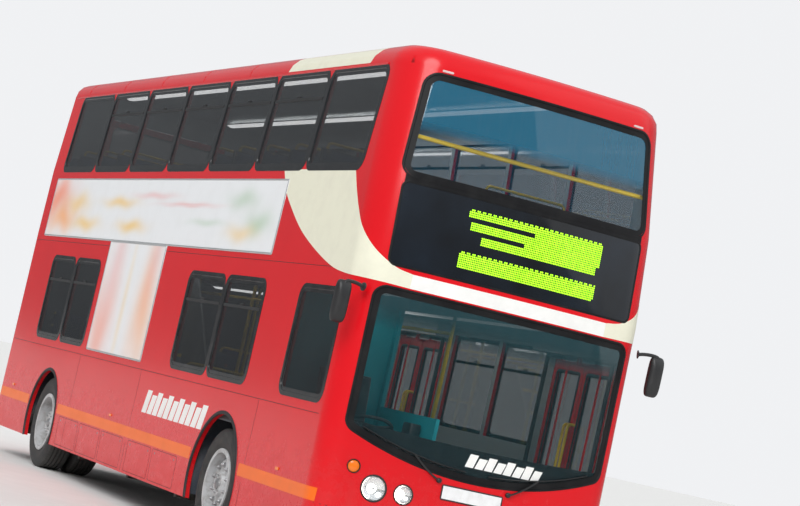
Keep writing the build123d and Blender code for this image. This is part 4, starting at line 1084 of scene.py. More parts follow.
# Wheel fasteners: ten steel nuts hold each disc to its hub, each on a washer and with the end of
# its stud showing. Eight small screws hold the hub's domed cap.
def lathe(name, section, centre, way, n, smooth=True):
    """A turned form on an axis along Y: the section gives radius and distance outward from the
    centre. n of 6 gives a hexagon."""
    s = np.asarray(section, float)
    a = np.arange(n) * 2 * math.pi / n
    x = centre[0] + s[:, 0][None] * np.cos(a)[:, None]
    z = centre[2] + s[:, 0][None] * np.sin(a)[:, None]
    return surface(name, points(x, centre[1] + way * s[:, 1], z), wrap_u=True, smooth=smooth)


AXIS_R = 1e-4


def nut(centre, way, across=0.032, height=0.024):
    """A hexagon nut with a chamfered top on a round washer, and its stud's end."""
    r, end = across / math.sqrt(3), height + 0.011
    body = [(AXIS_R, 0.0), (r, 0.0), (r, height * 0.86), (r * 0.86, height), (AXIS_R, height)]
    washer = [(AXIS_R, -0.001), (r * 1.35, -0.001), (r * 1.35, 0.003), (r * 1.2, 0.005), (AXIS_R, 0.005)]
    stud = [(AXIS_R, 0.0), (r * 0.58, 0.0), (r * 0.58, end - 0.003), (r * 0.45, end), (AXIS_R, end)]
    return [
        lathe("nut", body, centre, way, 6, smooth=False),
        lathe("washer", washer, centre, way, 20),
        lathe("stud", stud, centre, way, 12),
    ]


STUD_CIRCLE_R = 0.1675
# Columns: axle, body, distance out of the disc's face and of the hub cap's, circle of its screws
HUBS = [
    (FRONT_AXLE, "wheel_front_", FRONT_TRACK + 0.078, FRONT_TRACK + 0.110, 0.074),
    (REAR_AXLE, "wheel_rear_", REAR_TWINS[0] - 0.038, REAR_TWINS[0] + 0.075, 0.094),
]
for side, word in ((1, "left"), (-1, "right")):
    for x, body, face_y, cap_y, cap_r in HUBS:
        parts = []
        on_circle = lambda r, y, t: (x + r * math.cos(t), side * y, HUB_Z + r * math.sin(t))
        for i in range(10):
            parts += nut(on_circle(STUD_CIRCLE_R, face_y, 2 * math.pi * (i + 0.5) / 10), side)
        for i in range(8):
            parts += nut(on_circle(cap_r, cap_y, 2 * math.pi * i / 8), side, 0.013, 0.007)
        boss = [(AXIS_R, -0.001), (0.048, -0.001), (0.046, 0.008), (0.030, 0.016), (AXIS_R, 0.018)]
        parts.append(lathe("boss", boss, (x, side * cap_y, HUB_Z), side, 32))
        join(body + word + "_fasteners", coat(parts, bright_steel), body + word)
        repaint(body + word, wheel_enamel)

# Black rubber lips edge the wheel arches. Each is one moulded strip, pushed over the cut edge of
# the panel from one foot of the arch to the other.
SKIRT_FOOT = 0.284
lips = []
for side in (-1, 1):
    for x, r in ((FRONT_AXLE, 0.590), (REAR_AXLE, 0.545)):
        low = math.asin((SKIRT_FOOT - HUB_Z) / r)
        a = np.linspace(low, math.pi - low, 61)
        path = np.c_[x + (r + 0.010) * np.cos(a), HUB_Z + (r + 0.010) * np.sin(a)][::-1]
        lips.append(bead("lip", path, bead_section(0.034, -0.004, 0.011), on_side(side), closed=False))
join("wheel_arch_lips", coat(lips, black_rubber), "bus_body")

# A moulded plate is fixed to the inside of the wall over each front wheel. It closes the gap
# between the top of the arch and the lid of the wheel box behind it.
x, z = np.meshgrid(FRONT_AXLE + np.linspace(-0.27, 0.27, 12), np.linspace(1.0255, 1.095, 5), indexing="ij")
parts = [slab("plate", k_side(x, z, side), z, -0.0455, 0.004) for side in (-1, 1)]
join("front_arch_plates", coat(parts, black_rubber), "bus_body")

# Doors. Each leaf is an aluminium frame under red enamel with one tall pane. Rubber noses close the
# gap between the leaves, a rubber gasket holds the pane, and a yellow rail inside helps people on.
def ring_on_plane(name, path, profile, plane_y, way):
    """A closed strip on a flat face square to Y. way is the side that it stands out to."""
    path = np.asarray(path, float)[::way]
    return bead(name, path, profile, lambda x, z, out: points(x, plane_y + way * out, z))


def tube(name, path, radius, n=14):
    """A round bar along the path, its section kept square to it."""
    p = np.asarray(path, float)
    along = np.gradient(p, axis=0)
    along /= np.linalg.norm(along, axis=1, keepdims=True)
    first = np.cross(along[0], (0, 0, 1) if abs(along[0, 2]) < 0.9 else (1, 0, 0))
    sides = []
    for t in along:
        first = first - t * (first @ t)
        first /= np.linalg.norm(first)
        sides.append(first)
    u = np.array(sides)
    v = np.cross(along, u)
    a = np.arange(n) * 2 * math.pi / n
    r = np.broadcast_to(radius, len(p))[:, None, None]
    ring = p[:, None] + r * (u[:, None] * np.cos(a)[:, None] + v[:, None] * np.sin(a)[:, None])
    return surface(name, ring, wrap_v=True, caps=True)


def grip(name, a, b, out, radius, bend=0.035):
    """A grab rail between two feet: it leaves each foot square to the wall and turns through a
    rounded corner into its straight run."""
    a, b, out = (np.asarray(v, float) for v in (a, b, out))
    way = (b - a) / np.linalg.norm(b - a)
    high = np.linalg.norm(out)
    up = out / high
    t = np.linspace(0, math.pi / 2, 7)[:, None]
    first = a + up * (high - bend) + up * bend * np.sin(t) + way * bend * (1 - np.cos(t))
    last = (b + up * (high - bend) + up * bend * np.sin(t) - way * bend * (1 - np.cos(t)))[::-1]
    return tube(name, np.vstack([[a], first, last, [b]]), radius)


yellow_coat = enamel("yellow_rail_coat", (0.92, 0.64, 0.020), 0.34, dirt=(0.42, 0.32, 0.08), most=0.18)
dark_fitting = enamel("dark_fitting_enamel", (0.030, 0.031, 0.033), 0.40, dirt=(0.10, 0.09, 0.08), most=0.3)
DOORWAYS = {"entrance": (3.580, 4.680), "exit": (0.180, 1.280)}
LEAF_IN, LEAF_OUT, LEAF_LOW, LEAF_TOP = 1.208, 1.243, 0.394, 2.140
GASKET = [
    (-0.016, -0.003),
    (0.012, -0.003),
    (0.012, 0.0),
    (0.010, 0.004),
    (0.002, 0.005),
    (-0.010, 0.003),
    (-0.016, -0.001),
]
for name, (x0, x1) in DOORWAYS.items():
    middle = (x0 + x1) / 2
    start, end = x0 + 0.010, middle - 0.004
    for word, flip in (("rear", 1), ("front", -1)):
        body = name + "_leaf_" + word
        across = lambda x: middle + (x - middle) * flip
        a, b = sorted((across(start + 0.060), across(end - 0.060)))
        pane = rounded(a, b, 0.524, 2.050, 0.022, 5, 0.4)
        gaskets = [ring_on_plane("gasket", pane, GASKET, y, way) for y, way in ((LEAF_OUT, 1), (LEAF_IN, -1))]
        turn = np.linspace(-math.pi / 2, math.pi / 2, 9)
        nose_x = across(end) + flip * np.append(0.0032 * np.cos(turn), [-0.001, -0.001])
        nose_y = (LEAF_IN + LEAF_OUT) / 2 + 0.017 * np.sin(turn)
        nose_y = np.append(nose_y, [LEAF_OUT - 0.0005, LEAF_IN + 0.0005])
        heights = np.linspace(LEAF_LOW + 0.002, LEAF_TOP - 0.002, 3)[:, None]
        nose = surface("nose", points(nose_x, nose_y, heights), wrap_v=True, caps=True)
        rail_x, rail_y = across(end - 0.030), LEAF_IN + 0.001
        rail = grip("rail", (rail_x, rail_y, 0.82), (rail_x, rail_y, 1.62), (0, -0.060, 0), 0.0125)
        rubbers = coat(gaskets + [nose], black_rubber)
        join(body + "_fittings", rubbers + coat([rail], yellow_coat), body)
        repaint(body, coach_red)
        repaint(name + "_arm_" + word, dark_fitting)
        repaint(name + "_glass_" + word, side_glass)

# A rubber draught strip is glued round each doorway on the outside, and a yellow aluminium nosing
# is screwed along the edge of its step.
NOSING = np.array([(1.150, 0.3600), (1.150, 0.3625), (1.196, 0.3635), (1.204, 0.3615), (1.205, 0.3600)])
parts = []
for x0, x1 in DOORWAYS.values():
    path = rounded(x0 - 0.008, x1 + 0.008, 0.378, 2.154, 0.010, 4)
    strip = bead("strip", path, bead_section(0.020, -0.001, 0.007), on_side(1))
    p = points(np.array([[x0 + 0.012], [x1 - 0.012]]), NOSING[:, 0], NOSING[:, 1])
    nosing = surface("nosing", p, wrap_v=True, caps=True, smooth=False)
    parts += coat([strip], black_rubber) + coat([nosing], yellow_coat)
join("doorway_trims", parts, "bus_body")

# Mirrors: a moulded black housing, open at the back over a slightly domed glass, hangs from a
# bent steel arm that is bolted to the front corner above the waist.
HEAD_Y, HEAD_Z, SQUARENESS = 1.385, 2.130, 0.42
# The arm from the corner out and down into its head, and its foot, both on the kerb side
ARM_ROUTE = smooth_line(
    [
        (4.955, 1.222, 2.278),
        (4.962, 1.262, 2.288),
        (4.976, 1.315, 2.294),
        (4.992, 1.362, 2.291),
        (5.001, 1.384, 2.276),
        (5.004, HEAD_Y, 2.235),
    ],
    25,
)
ARM_FOOT = np.array([(4.952, 1.214, 2.2775), (4.9535, 1.2185, 2.278), (4.956, 1.2265, 2.279)])


def squared_round(n, half_y, half_z):
    """The mirrors' outline: a superellipse, nearly a rectangle with round corners."""
    a = np.arange(n) * 2 * math.pi / n
    squared = lambda v: np.sign(v) * np.abs(v) ** SQUARENESS
    return squared(np.cos(a)) * half_y, squared(np.sin(a)) * half_z


def housing(name, back_x, front_x, side):
    """Rounded shell: its outline shrinks towards the front as a dome, and its rear rim turns in
    round the glass."""
    y, z = squared_round(48, 0.064, 0.164)
    t = np.linspace(0, 1, 12)
    shrink = np.concatenate([[0.90, 0.93, 0.98], np.sqrt(1 - t**2.6)])[:, None]
    shrink[-1] = 0.03
    depth = np.concatenate([[0.006, 0.0005, 0.0], (0.004 + 0.996 * t) * (front_x - back_x)])[:, None]
    p = points(back_x + depth, side * (HEAD_Y + shrink * y), HEAD_Z + shrink * z)
    return surface(name, p, wrap_v=True, caps=True)


mirror_glass, tree, shader, place = begin("mirror_glass")
spots = mapped(tree, noise(tree, place, 30.0, 6.0), 0.5, 0.75, 0.0, 1.0)
put(shader, "Base Color", mixed(tree, spots, (0.80, 0.82, 0.84), (0.62, 0.62, 0.60)))
put(shader, "Roughness", mapped(tree, spots, 0, 1, 0.02, 0.14))
put(shader, "Metallic", 1.0)
moulding = rubber("black_moulding", (0.014, 0.014, 0.015), 0.42)
glass_y, glass_z = squared_round(40, 0.057, 0.147)
# Columns: distance along the bus, share of the outline; rings from the glass's edge to its middle
DOME = np.array([(4.9835, 1.0), (4.9790, 1.0), (4.9778, 0.66), (4.9772, 0.33), (4.9770, 0.02)])
parts = []
for side in (-1, 1):
    head = housing("head", 4.976, 5.044, side)
    p = points(DOME[:, :1], side * HEAD_Y + DOME[:, 1:] * glass_y, HEAD_Z + DOME[:, 1:] * glass_z)
    glass = surface("glass", p, wrap_v=True, caps=True)
    arm = tube("arm", ARM_ROUTE * [1, side, 1], 0.0145)
    foot = tube("foot", ARM_FOOT * [1, side, 1], [0.034, 0.034, 0.020], 20)
    coat([glass], mirror_glass)
    parts += coat([head, glass, arm, foot], moulding)
o = join("mirror_units", parts, "bus_body")
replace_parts(o, "mirrors")

# Wipers: each arm turns on a spindle below the windscreen and carries a blade that lies along the
# glass's lower edge when parked.
BLADE_SECTION = [
    (-0.005, 0.004),
    (0.005, 0.004),
    (0.005, 0.013),
    (0.0015, 0.018),
    (-0.0015, 0.018),
    (-0.005, 0.013),
]
LIP_SECTION = [(-0.0015, -0.0045), (0.0015, -0.0045), (0.0015, 0.005), (-0.0015, 0.005)]
ARM_SECTION = [(-0.008, 0.018), (0.008, 0.018), (0.006, 0.025), (-0.006, 0.025)]
BLADE_RISE, TURN_Y, TURN_Z, ARM_REACH = 0.070, 0.30, 0.965, 0.24
parts = []
for side in (-1, 1):
    y = side * np.linspace(0.10, 0.98, 25)
    rest = np.c_[y, screen_foot(y) + BLADE_RISE]
    t = np.linspace(0, 1, 13)
    climb = screen_foot(TURN_Y + ARM_REACH) + BLADE_RISE - TURN_Z
    arm = np.c_[side * (TURN_Y + ARM_REACH * t), TURN_Z + climb * t**1.3]
    for name, path, section in (
        ("blade", rest, BLADE_SECTION),
        ("lip", rest, LIP_SECTION),
        ("arm", arm, ARM_SECTION),
    ):
        parts.append(bead(name, path[::side], section, on_front, closed=False))
    swell = lambda s: 0.028 - 0.008 * s**4
    parts.append(lamp("spindle", side * TURN_Y, TURN_Z, 0.020, swell, 0.029, n=24, m=6))
join("wipers", coat(parts, moulding), "bus_body")

# Rear. The lamps are domes of coloured plastic with chromed backs in black bezels: reversing light
# below, indicator, and stop and tail light above.
red_lens = clear_plastic("red_lens", (0.62, 0.004, 0.004), 0.96)
white_lens = clear_plastic("white_lens", (0.86, 0.87, 0.86), 0.60)
LENS_RADIUS = 0.0515
parts = []
for side in (-1, 1):
    for z, paint in ((0.900, white_lens), (1.040, orange_lens), (1.180, red_lens)):
        y = side * 1.075
        rim = bezel(y, z, 0.061, 0.84, 0.0005, 0.008, 0.020, face=on_back)
        lens = lamp("lens", y, z, LENS_RADIUS, domed(-0.002, 0.010), 0.003, face=on_back)
        bowl = lamp("bowl", y, z, LENS_RADIUS, domed(-0.008, -0.016), 0.002, face=on_back)
        parts += coat([rim], black_rubber) + coat([lens], paint) + coat([bowl], chrome)
o = join("rear_lamp_units", parts, "bus_body")
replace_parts(o, "rear_lamps")

# Emergency window at the back of the upper deck: a red steel frame with a bonded tinted pane. It
# hangs from two hinges at its top edge and has a release bar at its foot.
EXIT_Y, EXIT_LOW, EXIT_TOP, EXIT_FRAME, LID_GAP = 0.720, 3.130, 3.950, 0.070, 0.006
PANE_INSET = 0.074


def plate(name, path, low, high, face):
    """A flat plate inside a closed path: both faces are fans about its middle."""
    path = np.asarray(path, float)
    middle = path.mean(0)
    rings = [middle + (path - middle) * s for s in (0.0, 0.5, 1.0)]
    both = [face(*r.T, np.full(len(r), low)) for r in rings]
    both += [face(*r.T, np.full(len(r), high)) for r in rings[::-1]]
    return surface(name, np.stack(both), wrap_v=True, caps=True)


def exit_outline(inset, corner, step=3.0):
    """The window's opening drawn in by an inset, with rounded corners. step is the distance
    between the points of its sides, and the usual one leaves them without any."""
    return rounded(-EXIT_Y + inset, EXIT_Y - inset, EXIT_LOW + inset, EXIT_TOP - inset, corner, 6, step)


# Columns: inset from the opening, corner radius, height above the panel, from the frame's outer
# back edge round to its inner one
EXIT_SECTION = [
    (LID_GAP, 0.008, -0.045),
    (LID_GAP, 0.008, -0.002),
    (LID_GAP + 0.003, 0.008, 0.0),
    (LID_GAP + EXIT_FRAME - 0.004, 0.052, 0.0),
    (LID_GAP + EXIT_FRAME, 0.048, -0.003),
    (LID_GAP + EXIT_FRAME, 0.048, -0.045),
]
rings = [on_back(*exit_outline(inset, corner).T, out) for inset, corner, out in EXIT_SECTION]
rim = surface("frame", np.stack(rings), wrap_u=True, wrap_v=True, smooth=False)
pane_path = exit_outline(PANE_INSET, 0.045, 0.2)
pane = plate("pane", pane_path, -0.014, -0.006, on_back)
lip = [(-0.018, -0.006), (0.004, -0.006), (0.004, 0.002), (-0.002, 0.0035), (-0.018, -0.002)]
gasket = bead("gasket", pane_path, lip, on_back)
lid = coat([rim], coach_red) + coat([pane], side_glass) + coat([gasket], black_rubber)
HINGE_X, HINGE_Z, HINGE_START = BACK_X - 0.009, EXIT_TOP - 0.012, EXIT_Y - 0.330
for side in (-1, 1):
    a, b = sorted((side * (HINGE_START + 0.0605), side * (HINGE_START + 0.1195)))
    knuckle = tube("knuckle", [(HINGE_X, a, HINGE_Z), (HINGE_X, b, HINGE_Z)], 0.0078, 16)
    strap = rounded(-b, -a, HINGE_Z - 0.046, HINGE_Z - 0.002, 0.002, 2)
    lid += coat([knuckle, plate("strap", strap, 0.0, 0.004, on_back)], dark_fitting)
pull_z, pull_x = EXIT_LOW + 0.040, BACK_X - 0.001
release = grip("release", (pull_x, -0.13, pull_z), (pull_x, 0.13, pull_z), (-0.013, 0, 0), 0.005, 0.009)
o = join("emergency_window_unit", lid + coat([release], bright_steel), "emergency_window")
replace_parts(o, "emergency_window")

# Steel hinge knuckles and straps, which are part of the back's panels and of the engine cover,
# stand out behind their faces. They are bolted on and painted black.
for name in ("rear_panel_lower", "rear_panel_upper", "engine_cover_skin"):
    mesh = bpy.data.objects[name].data
    middles = np.zeros(len(mesh.polygons) * 3)
    mesh.polygons.foreach_get("center", middles)
    which = np.zeros(len(mesh.polygons), int)
    mesh.polygons.foreach_get("material_index", which)
    mesh.materials.append(dark_fitting)
    which[middles[::3] < BACK_X - 0.002] = len(mesh.materials) - 1
    mesh.polygons.foreach_set("material_index", which)

# Steel fittings of the engine cover: a black wire guard is welded in behind the louvres, and two
# flush locks and a black pull handle are bolted on near its foot.
parts = []
for y in (-0.55, 0.55):
    ring = lamp("lock", y, 0.520, 0.021, lambda s: 0.0035 - 0.003 * s**6, 0.006, face=on_back, n=28, m=7)
    outline = rounded(y - 0.010, y + 0.010, 0.5175, 0.5225, 0.0024, 3)
    keyway = plate("keyway", outline, 0.0030, 0.0042, on_back)
    parts += coat([ring], bright_steel) + coat([keyway], black_rubber)
parts.append(grip("pull", (pull_x, -0.09, 0.565), (pull_x, 0.09, 0.565), (-0.014, 0, 0), 0.005, 0.009))
WIRE_X = BACK_X + 0.0475
for y0, y1 in ((-0.775, -0.095), (0.095, 0.775)):
    for y in np.arange(y0 + 0.02, y1, 0.040):
        parts.append(tube("wire", [(WIRE_X, y, 0.700), (WIRE_X, y, 1.385)], 0.0016, 5))
    for z in (0.705, 0.870, 1.040, 1.210, 1.380):
        parts.append(tube("wire", [(WIRE_X, y0, z), (WIRE_X, y1, z)], 0.0020, 5))
join("engine_cover_fittings", coat(parts, dark_fitting), "engine_cover")

# Number plates, left blank: white in front and yellow behind. Each is an acrylic plate over
# reflective sheet, in a black rubber edge that is screwed to the panel.
PLATE_RIM = [(-0.006, 0.0), (0.004, 0.0), (0.004, 0.006), (0.001, 0.0075), (-0.004, 0.0075), (-0.006, 0.006)]


def plate_face(name, colour):
    """Reflective plate sheet: an even colour with a fine honeycomb sparkle and a little dirt."""
    m, tree, shader, place = begin(name)
    cell = add(tree, "TexVoronoi", {"Vector": place, "Scale": 320.0}, feature="DISTANCE_TO_EDGE").outputs[0]
    line = mapped(tree, cell, 0.02, 0.08, 0.90, 1.0)
    film = mapped(tree, noise(tree, place, 14.0, 7.0, 0.65), 0.45, 0.75, 0.0, 0.25)
    base = mixed(tree, line, tuple(c * 0.82 for c in colour), colour)
    put(shader, "Base Color", mixed(tree, film, base, (0.30, 0.28, 0.25)))
    put(shader, "Roughness", 0.35)
    bumped(tree, shader, cell, 0.0003, 0.3)
    return m


white_plate = plate_face("white_plate_sheet", (0.82, 0.83, 0.84))
yellow_plate = plate_face("yellow_plate_sheet", (0.85, 0.62, 0.03))
parts = []
for face, z, paint in ((on_front, 0.885, white_plate), (on_back, 1.800, yellow_plate)):
    outline = rounded(-0.260, 0.260, z - 0.0555, z + 0.0555, 0.010, 5, 0.05)
    edge = bead("edge", outline, PLATE_RIM, face)
    inside = rounded(-0.257, 0.257, z - 0.0525, z + 0.0525, 0.008, 5, 0.05)
    blank = plate("blank", inside, 0.001, 0.0055, face)
    parts += coat([edge], black_rubber) + coat([blank], paint)
join("blank_number_plates", parts, "bus_body")

# Seams between panels are thin dark red strips: painted shade of the narrow grooves between the
# panels. Flaps in the skirt have their own seams and square-key locks.
groove_shade_paint = rubber("seam_groove_shade", (0.045, 0.004, 0.004), 0.6)
SEAM = [(-0.0022, -0.0010), (0.0022, -0.0010), (0.0022, 0.0006), (-0.0022, 0.0006)]
COVER_SEAM = [(-0.0028, -0.004), (0.0028, -0.004), (0.0028, -0.0006), (-0.0028, -0.0006)]
WAIST, DECK_LINE, FRONT_LINE = 1.262, 2.405, 0.600
UPRIGHT_SEAMS = {-1: (-2.095, 0.05, 3.36), 1: (-2.1, 1.40, 3.47)}
REAR_FLAPS = ((-2.35, -1.62), (-1.56, -0.83))
FLAPS = {-1: REAR_FLAPS + ((-0.77, -0.04), (0.14, 0.86), (0.92, 1.64)), 1: REAR_FLAPS}
x = np.linspace(-4.90, 4.72, 60)
WAIST_RUNS = {-1: [x], 1: [x[x < 0.16], x[(x > 1.31) & (x < 3.55)]]}
parts = []
for side in (-1, 1):
    for at in UPRIGHT_SEAMS[side]:
        parts.append(run_on_side("seam", at, np.linspace(0.292, 1.255, 5), SEAM, side))
    for run in WAIST_RUNS[side]:
        parts.append(run_on_side("seam", run, WAIST, SEAM, side))
    parts.append(run_on_side("seam", x, DECK_LINE, SEAM, side))
    for x0, x1 in FLAPS[side]:
        parts.append(bead("flap", rounded(x0, x1, 0.306, 0.592, 0.020, 5, 0.2), SEAM, on_side(side)))
        for at in (x0 + 0.075, x1 - 0.075):
            crown = lambda s: 0.0022 - 0.0015 * s**6
            lock = lamp("lock", at, 0.556, 0.011, crown, 0.004, face=on_side(side), n=18, m=5)
            parts += coat([lock], bright_steel)
for face, half, n, height in ((on_back, 1.08, 9, DECK_LINE), (on_front, 1.21, 61, FRONT_LINE)):
    path = np.c_[np.linspace(-half, half, n), np.full(n, height)]
    parts.append(bead("seam", path, SEAM, face, closed=False))
parts.append(bead("seam", rounded(-0.897, 0.897, 0.453, 1.647, 0.012, 4, 0.3), COVER_SEAM, on_back))
join("panel_seams", coat(parts, groove_shade_paint), "bus_body")

# Rain channels of aluminium are bonded along both eaves. The roof's sheets overlap at seven
# laps, which are sealed and painted over. The laps are left out under the cream vinyl.
GUTTER = [
    (-0.008, -0.001),
    (0.008, -0.001),
    (0.008, 0.004),
    (0.003, 0.0085),
    (-0.004, 0.0085),
    (-0.008, 0.004),
]
x = np.linspace(-4.86, 4.36, 70)
parts = [run_on_side("gutter", x, 4.066, GUTTER, side) for side in (-1, 1)]
for x in (-4.40, -3.05, -1.70, -0.35, 1.00, 2.35, 3.70):
    foot = EAVE_TOP + 0.0005 if x > 2 else 4.09
    z = np.concatenate([np.linspace(foot, 4.2490, 12), np.linspace(4.2515, 4.2990, 10)])
    for side in (-1, 1):
        k = np.stack([k_side(x - 0.014, z, side), k_side(x + 0.014, z, side)], 1)
        parts.append(slab("lap", k, np.stack([z, z], 1), 0.0022, 0.003))
join("gutters_and_roof_laps", coat(parts, coach_red), "bus_body")

# Marker lamps are flat blocks of moulded plastic, screwed to the panels: orange ones along the
# skirt, and two white ones over the upper front window.
parts = []
for side, places in ((-1, (-4.45, -0.60, 4.12)), (1, (-4.45, -1.20, 1.62))):
    for x in places:
        path = rounded(x - 0.036, x + 0.036, 0.752, 0.776, 0.010, 5)
        parts.append(plate("marker", path, -0.001, 0.009, on_side(side)))
coat(parts, orange_lens)
for y in (-0.86, 0.86):
    path = rounded(y - 0.045, y + 0.045, 4.053, 4.069, 0.007, 5)
    parts.append(plate("marker", path, -0.001, 0.008, on_front))
join("marker_lamps", coat(parts, white_lens), "bus_body")

# Inside finishes. The floors are speckled safety vinyl, the ceilings and linings pale laminate,
# and the frame and running gear carry black chassis paint under road dust.
def safety_floor(name, colour, under=None, split=None):
    """Safety flooring: coloured quartz specks in vinyl. Below the height split it is ceiling."""
    m, tree, shader, place = begin(name)
    cells = add(tree, "TexVoronoi", {"Vector": place, "Scale": 240.0}).outputs["Distance"]
    speck = mapped(tree, cells, 0.10, 0.22, 1.0, 0.0)
    base = mixed(tree, speck, colour, tuple(min(1, c * 2.6 + 0.05) for c in colour))
    worn = mapped(tree, noise(tree, place, 3.0, 7.0, 0.65), 0.42, 0.72, 0.0, 0.45)
    base = mixed(tree, worn, base, (0.13, 0.125, 0.12))
    if under:
        height = add(tree, "SeparateXYZ", {"Vector": place}).outputs["Z"]
        base = mixed(tree, mapped(tree, height, split - 0.001, split + 0.001, 0, 1), under, base)
    put(shader, "Base Color", base)
    put(shader, "Roughness", mapped(tree, worn, 0, 0.45, 0.45, 0.75))
    bumped(tree, shader, speck, 0.0004, 0.3)
    return m


ROAD_DUST, OIL_FILM = (0.13, 0.11, 0.09), (0.075, 0.058, 0.045)
chassis_black = enamel("chassis_black", (0.016, 0.016, 0.017), 0.50, ROAD_DUST, (0.38, 0.66), 0.75)
cast_iron = enamel("engine_cast_iron", (0.20, 0.22, 0.23), 0.46, OIL_FILM, (0.42, 0.68), 0.6)
teal_laminate = laminate("teal_laminate", (0.004, 0.36, 0.42))
grey_laminate = laminate("grey_laminate", (0.26, 0.27, 0.28))
dash_plastic = rubber("dash_plastic", (0.020, 0.021, 0.023), 0.48)
seat_plastic = laminate("seat_shell_plastic", (0.085, 0.090, 0.105), 0.38)
lower_vinyl = safety_floor("lower_floor_vinyl", (0.050, 0.058, 0.075))
upper_vinyl = safety_floor("upper_floor_vinyl", (0.050, 0.058, 0.075), under=(0.52, 0.53, 0.52), split=2.360)
finishes = {
    "lower_floor": lower_vinyl,
    "upper_floor": upper_vinyl,
    "underframe": chassis_black,
    "front_axle": chassis_black,
    "rear_axle": chassis_black,
    "knuckle_left": chassis_black,
    "knuckle_right": chassis_black,
    "engine": cast_iron,
    "staircase": grey_laminate,
    "cab_partition": teal_laminate,
    "cab_door": teal_laminate,
    "dashboard": dash_plastic,
    "steering_wheel": dash_plastic,
    "seats_upper": seat_plastic,
    "seats_lower": seat_plastic,
    "handrails": yellow_coat,
}
for name, paint in finishes.items():
    repaint(name, paint)

# Seat trim. Every passenger place has a squab and a back pad of moulded foam in wool moquette: a
# crowned pad with piped edges and two sewn flutes. One of each is blown up as cloth, and the
# others repeat it.
def moquette(name, ground, marks):
    """Cut-pile wool: a woven ground with small squares and bars of other yarns, on the pad's own
    map, so that the pattern runs square to each seat."""
    m, tree, shader, place = begin(name)
    flat = add(tree, "UVMap", uv_map="cloth").outputs[0]
    big = add(tree, "Mapping", {"Vector": flat, "Scale": (14, 14, 14)}).outputs[0]
    cell = add(tree, "TexVoronoi", {"Vector": big, "Scale": 1.0, "Randomness": 0.55}, distance="CHEBYCHEV")
    shape = mapped(tree, cell.outputs["Distance"], 0.20, 0.23, 1.0, 0.0)
    pick = add(tree, "SeparateColor", {"Color": cell.outputs["Color"]})
    first = mapped(tree, pick.outputs[0], 0.60, 0.62, 0.0, 1.0)
    second = mapped(tree, pick.outputs[1], 0.62, 0.64, 0.0, 1.0)
    yarn = mixed(tree, second, marks[0], marks[1])
    show = add(tree, "Math", {0: shape, 1: first}, operation="MULTIPLY").outputs[0]
    base = mixed(tree, show, ground, yarn)
    fine = add(tree, "Mapping", {"Vector": flat, "Scale": (420, 420, 420)}).outputs[0]
    pile = add(tree, "TexVoronoi", {"Vector": fine, "Scale": 1.0}).outputs["Distance"]
    shade = mapped(tree, pile, 0.1, 0.7, 0.0, 0.45)
    worn = mapped(tree, noise(tree, place, 6.0, 5.0, 0.6), 0.45, 0.75, 0.0, 0.25)
    base = mixed(tree, shade, base, tuple(c * 0.35 for c in ground))
    put(shader, "Base Color", mixed(tree, worn, base, (0.20, 0.19, 0.18)))
    put(shader, "Roughness", 0.92)
    put(shader, "Sheen Weight", 0.35)
    put(shader, "Sheen Roughness", 0.45)
    bumped(tree, shader, pile, 0.0006, 0.5)
    return m


PAD_POINTS, CROWN = 19, 0.012


def pad_form(wide, deep, thick):
    """A closed pad in its own frame: x deep, y wide, z up from its flat underside. The top stands
    as a low crown whose sides fall steeply to a seam at two fifths of the thickness."""
    s = np.sin(np.linspace(-1, 1, PAD_POINTS) * math.pi / 2)
    u, v = np.meshgrid(s, s, indexing="ij")
    edge = np.clip((1 - np.abs(u) ** 10) * (1 - np.abs(v) ** 10), 0, 1) ** 0.45
    round_out = (1 - u**2) * (1 - v**2)
    pull = 1 - 0.012 * (1 - u**2) * (np.abs(v) > 0.999) - 0.012 * (1 - v**2) * (np.abs(u) > 0.999)
    x, y = u * deep / 2 * pull, v * wide / 2 * pull
    seam_z = 0.4 * thick
    top = seam_z + (thick - CROWN - seam_z) * edge + CROWN * round_out
    low = seam_z * (1 - edge)
    return np.stack([x, y, top], -1), np.stack([x, y, low], -1), (u, v)


def blown(wide, deep, thick, cap):
    """How far the cover rises when the pad is blown up as cloth: a remeshed copy swells for twenty
    frames under pressure and no weight, and its height over each point of the top is read back."""
    top, low, _ = pad_form(wide, deep, thick)
    o = sheet("blown", top, low)
    o.data.validate()
    remesh = o.modifiers.new("even", "REMESH")
    remesh.mode, remesh.voxel_size = "VOXEL", 0.006
    cloth = o.modifiers.new("cloth", "CLOTH")
    cloth.settings.use_pressure = True
    cloth.settings.uniform_pressure_force = 4
    cloth.settings.effector_weights.gravity = 0
    cloth.settings.tension_stiffness = cloth.settings.compression_stiffness = 15
    cloth.point_cache.frame_start, cloth.point_cache.frame_end = 1, 20
    for f in range(1, 21):
        bpy.context.scene.frame_set(f)
    done = o.evaluated_get(bpy.context.evaluated_depsgraph_get())
    mesh = done.to_mesh()
    tree = bmesh.new()
    tree.from_mesh(mesh)
    from_above = BVHTree.FromBMesh(tree)
    rise = np.zeros(top.shape[:2])
    for i, j in np.ndindex(rise.shape):
        x, y, z = top[i, j]
        hit = from_above.ray_cast(Vector((x * 0.985, y * 0.985, 1.0)), Vector((0, 0, -1)))[0]
        rise[i, j] = min(max((hit.z if hit else z) - z, -cap / 2), cap)
    tree.free()
    done.to_mesh_clear()
    data = o.data
    bpy.data.objects.remove(o)
    bpy.data.meshes.remove(data)
    bpy.context.scene.frame_set(1)
    return rise


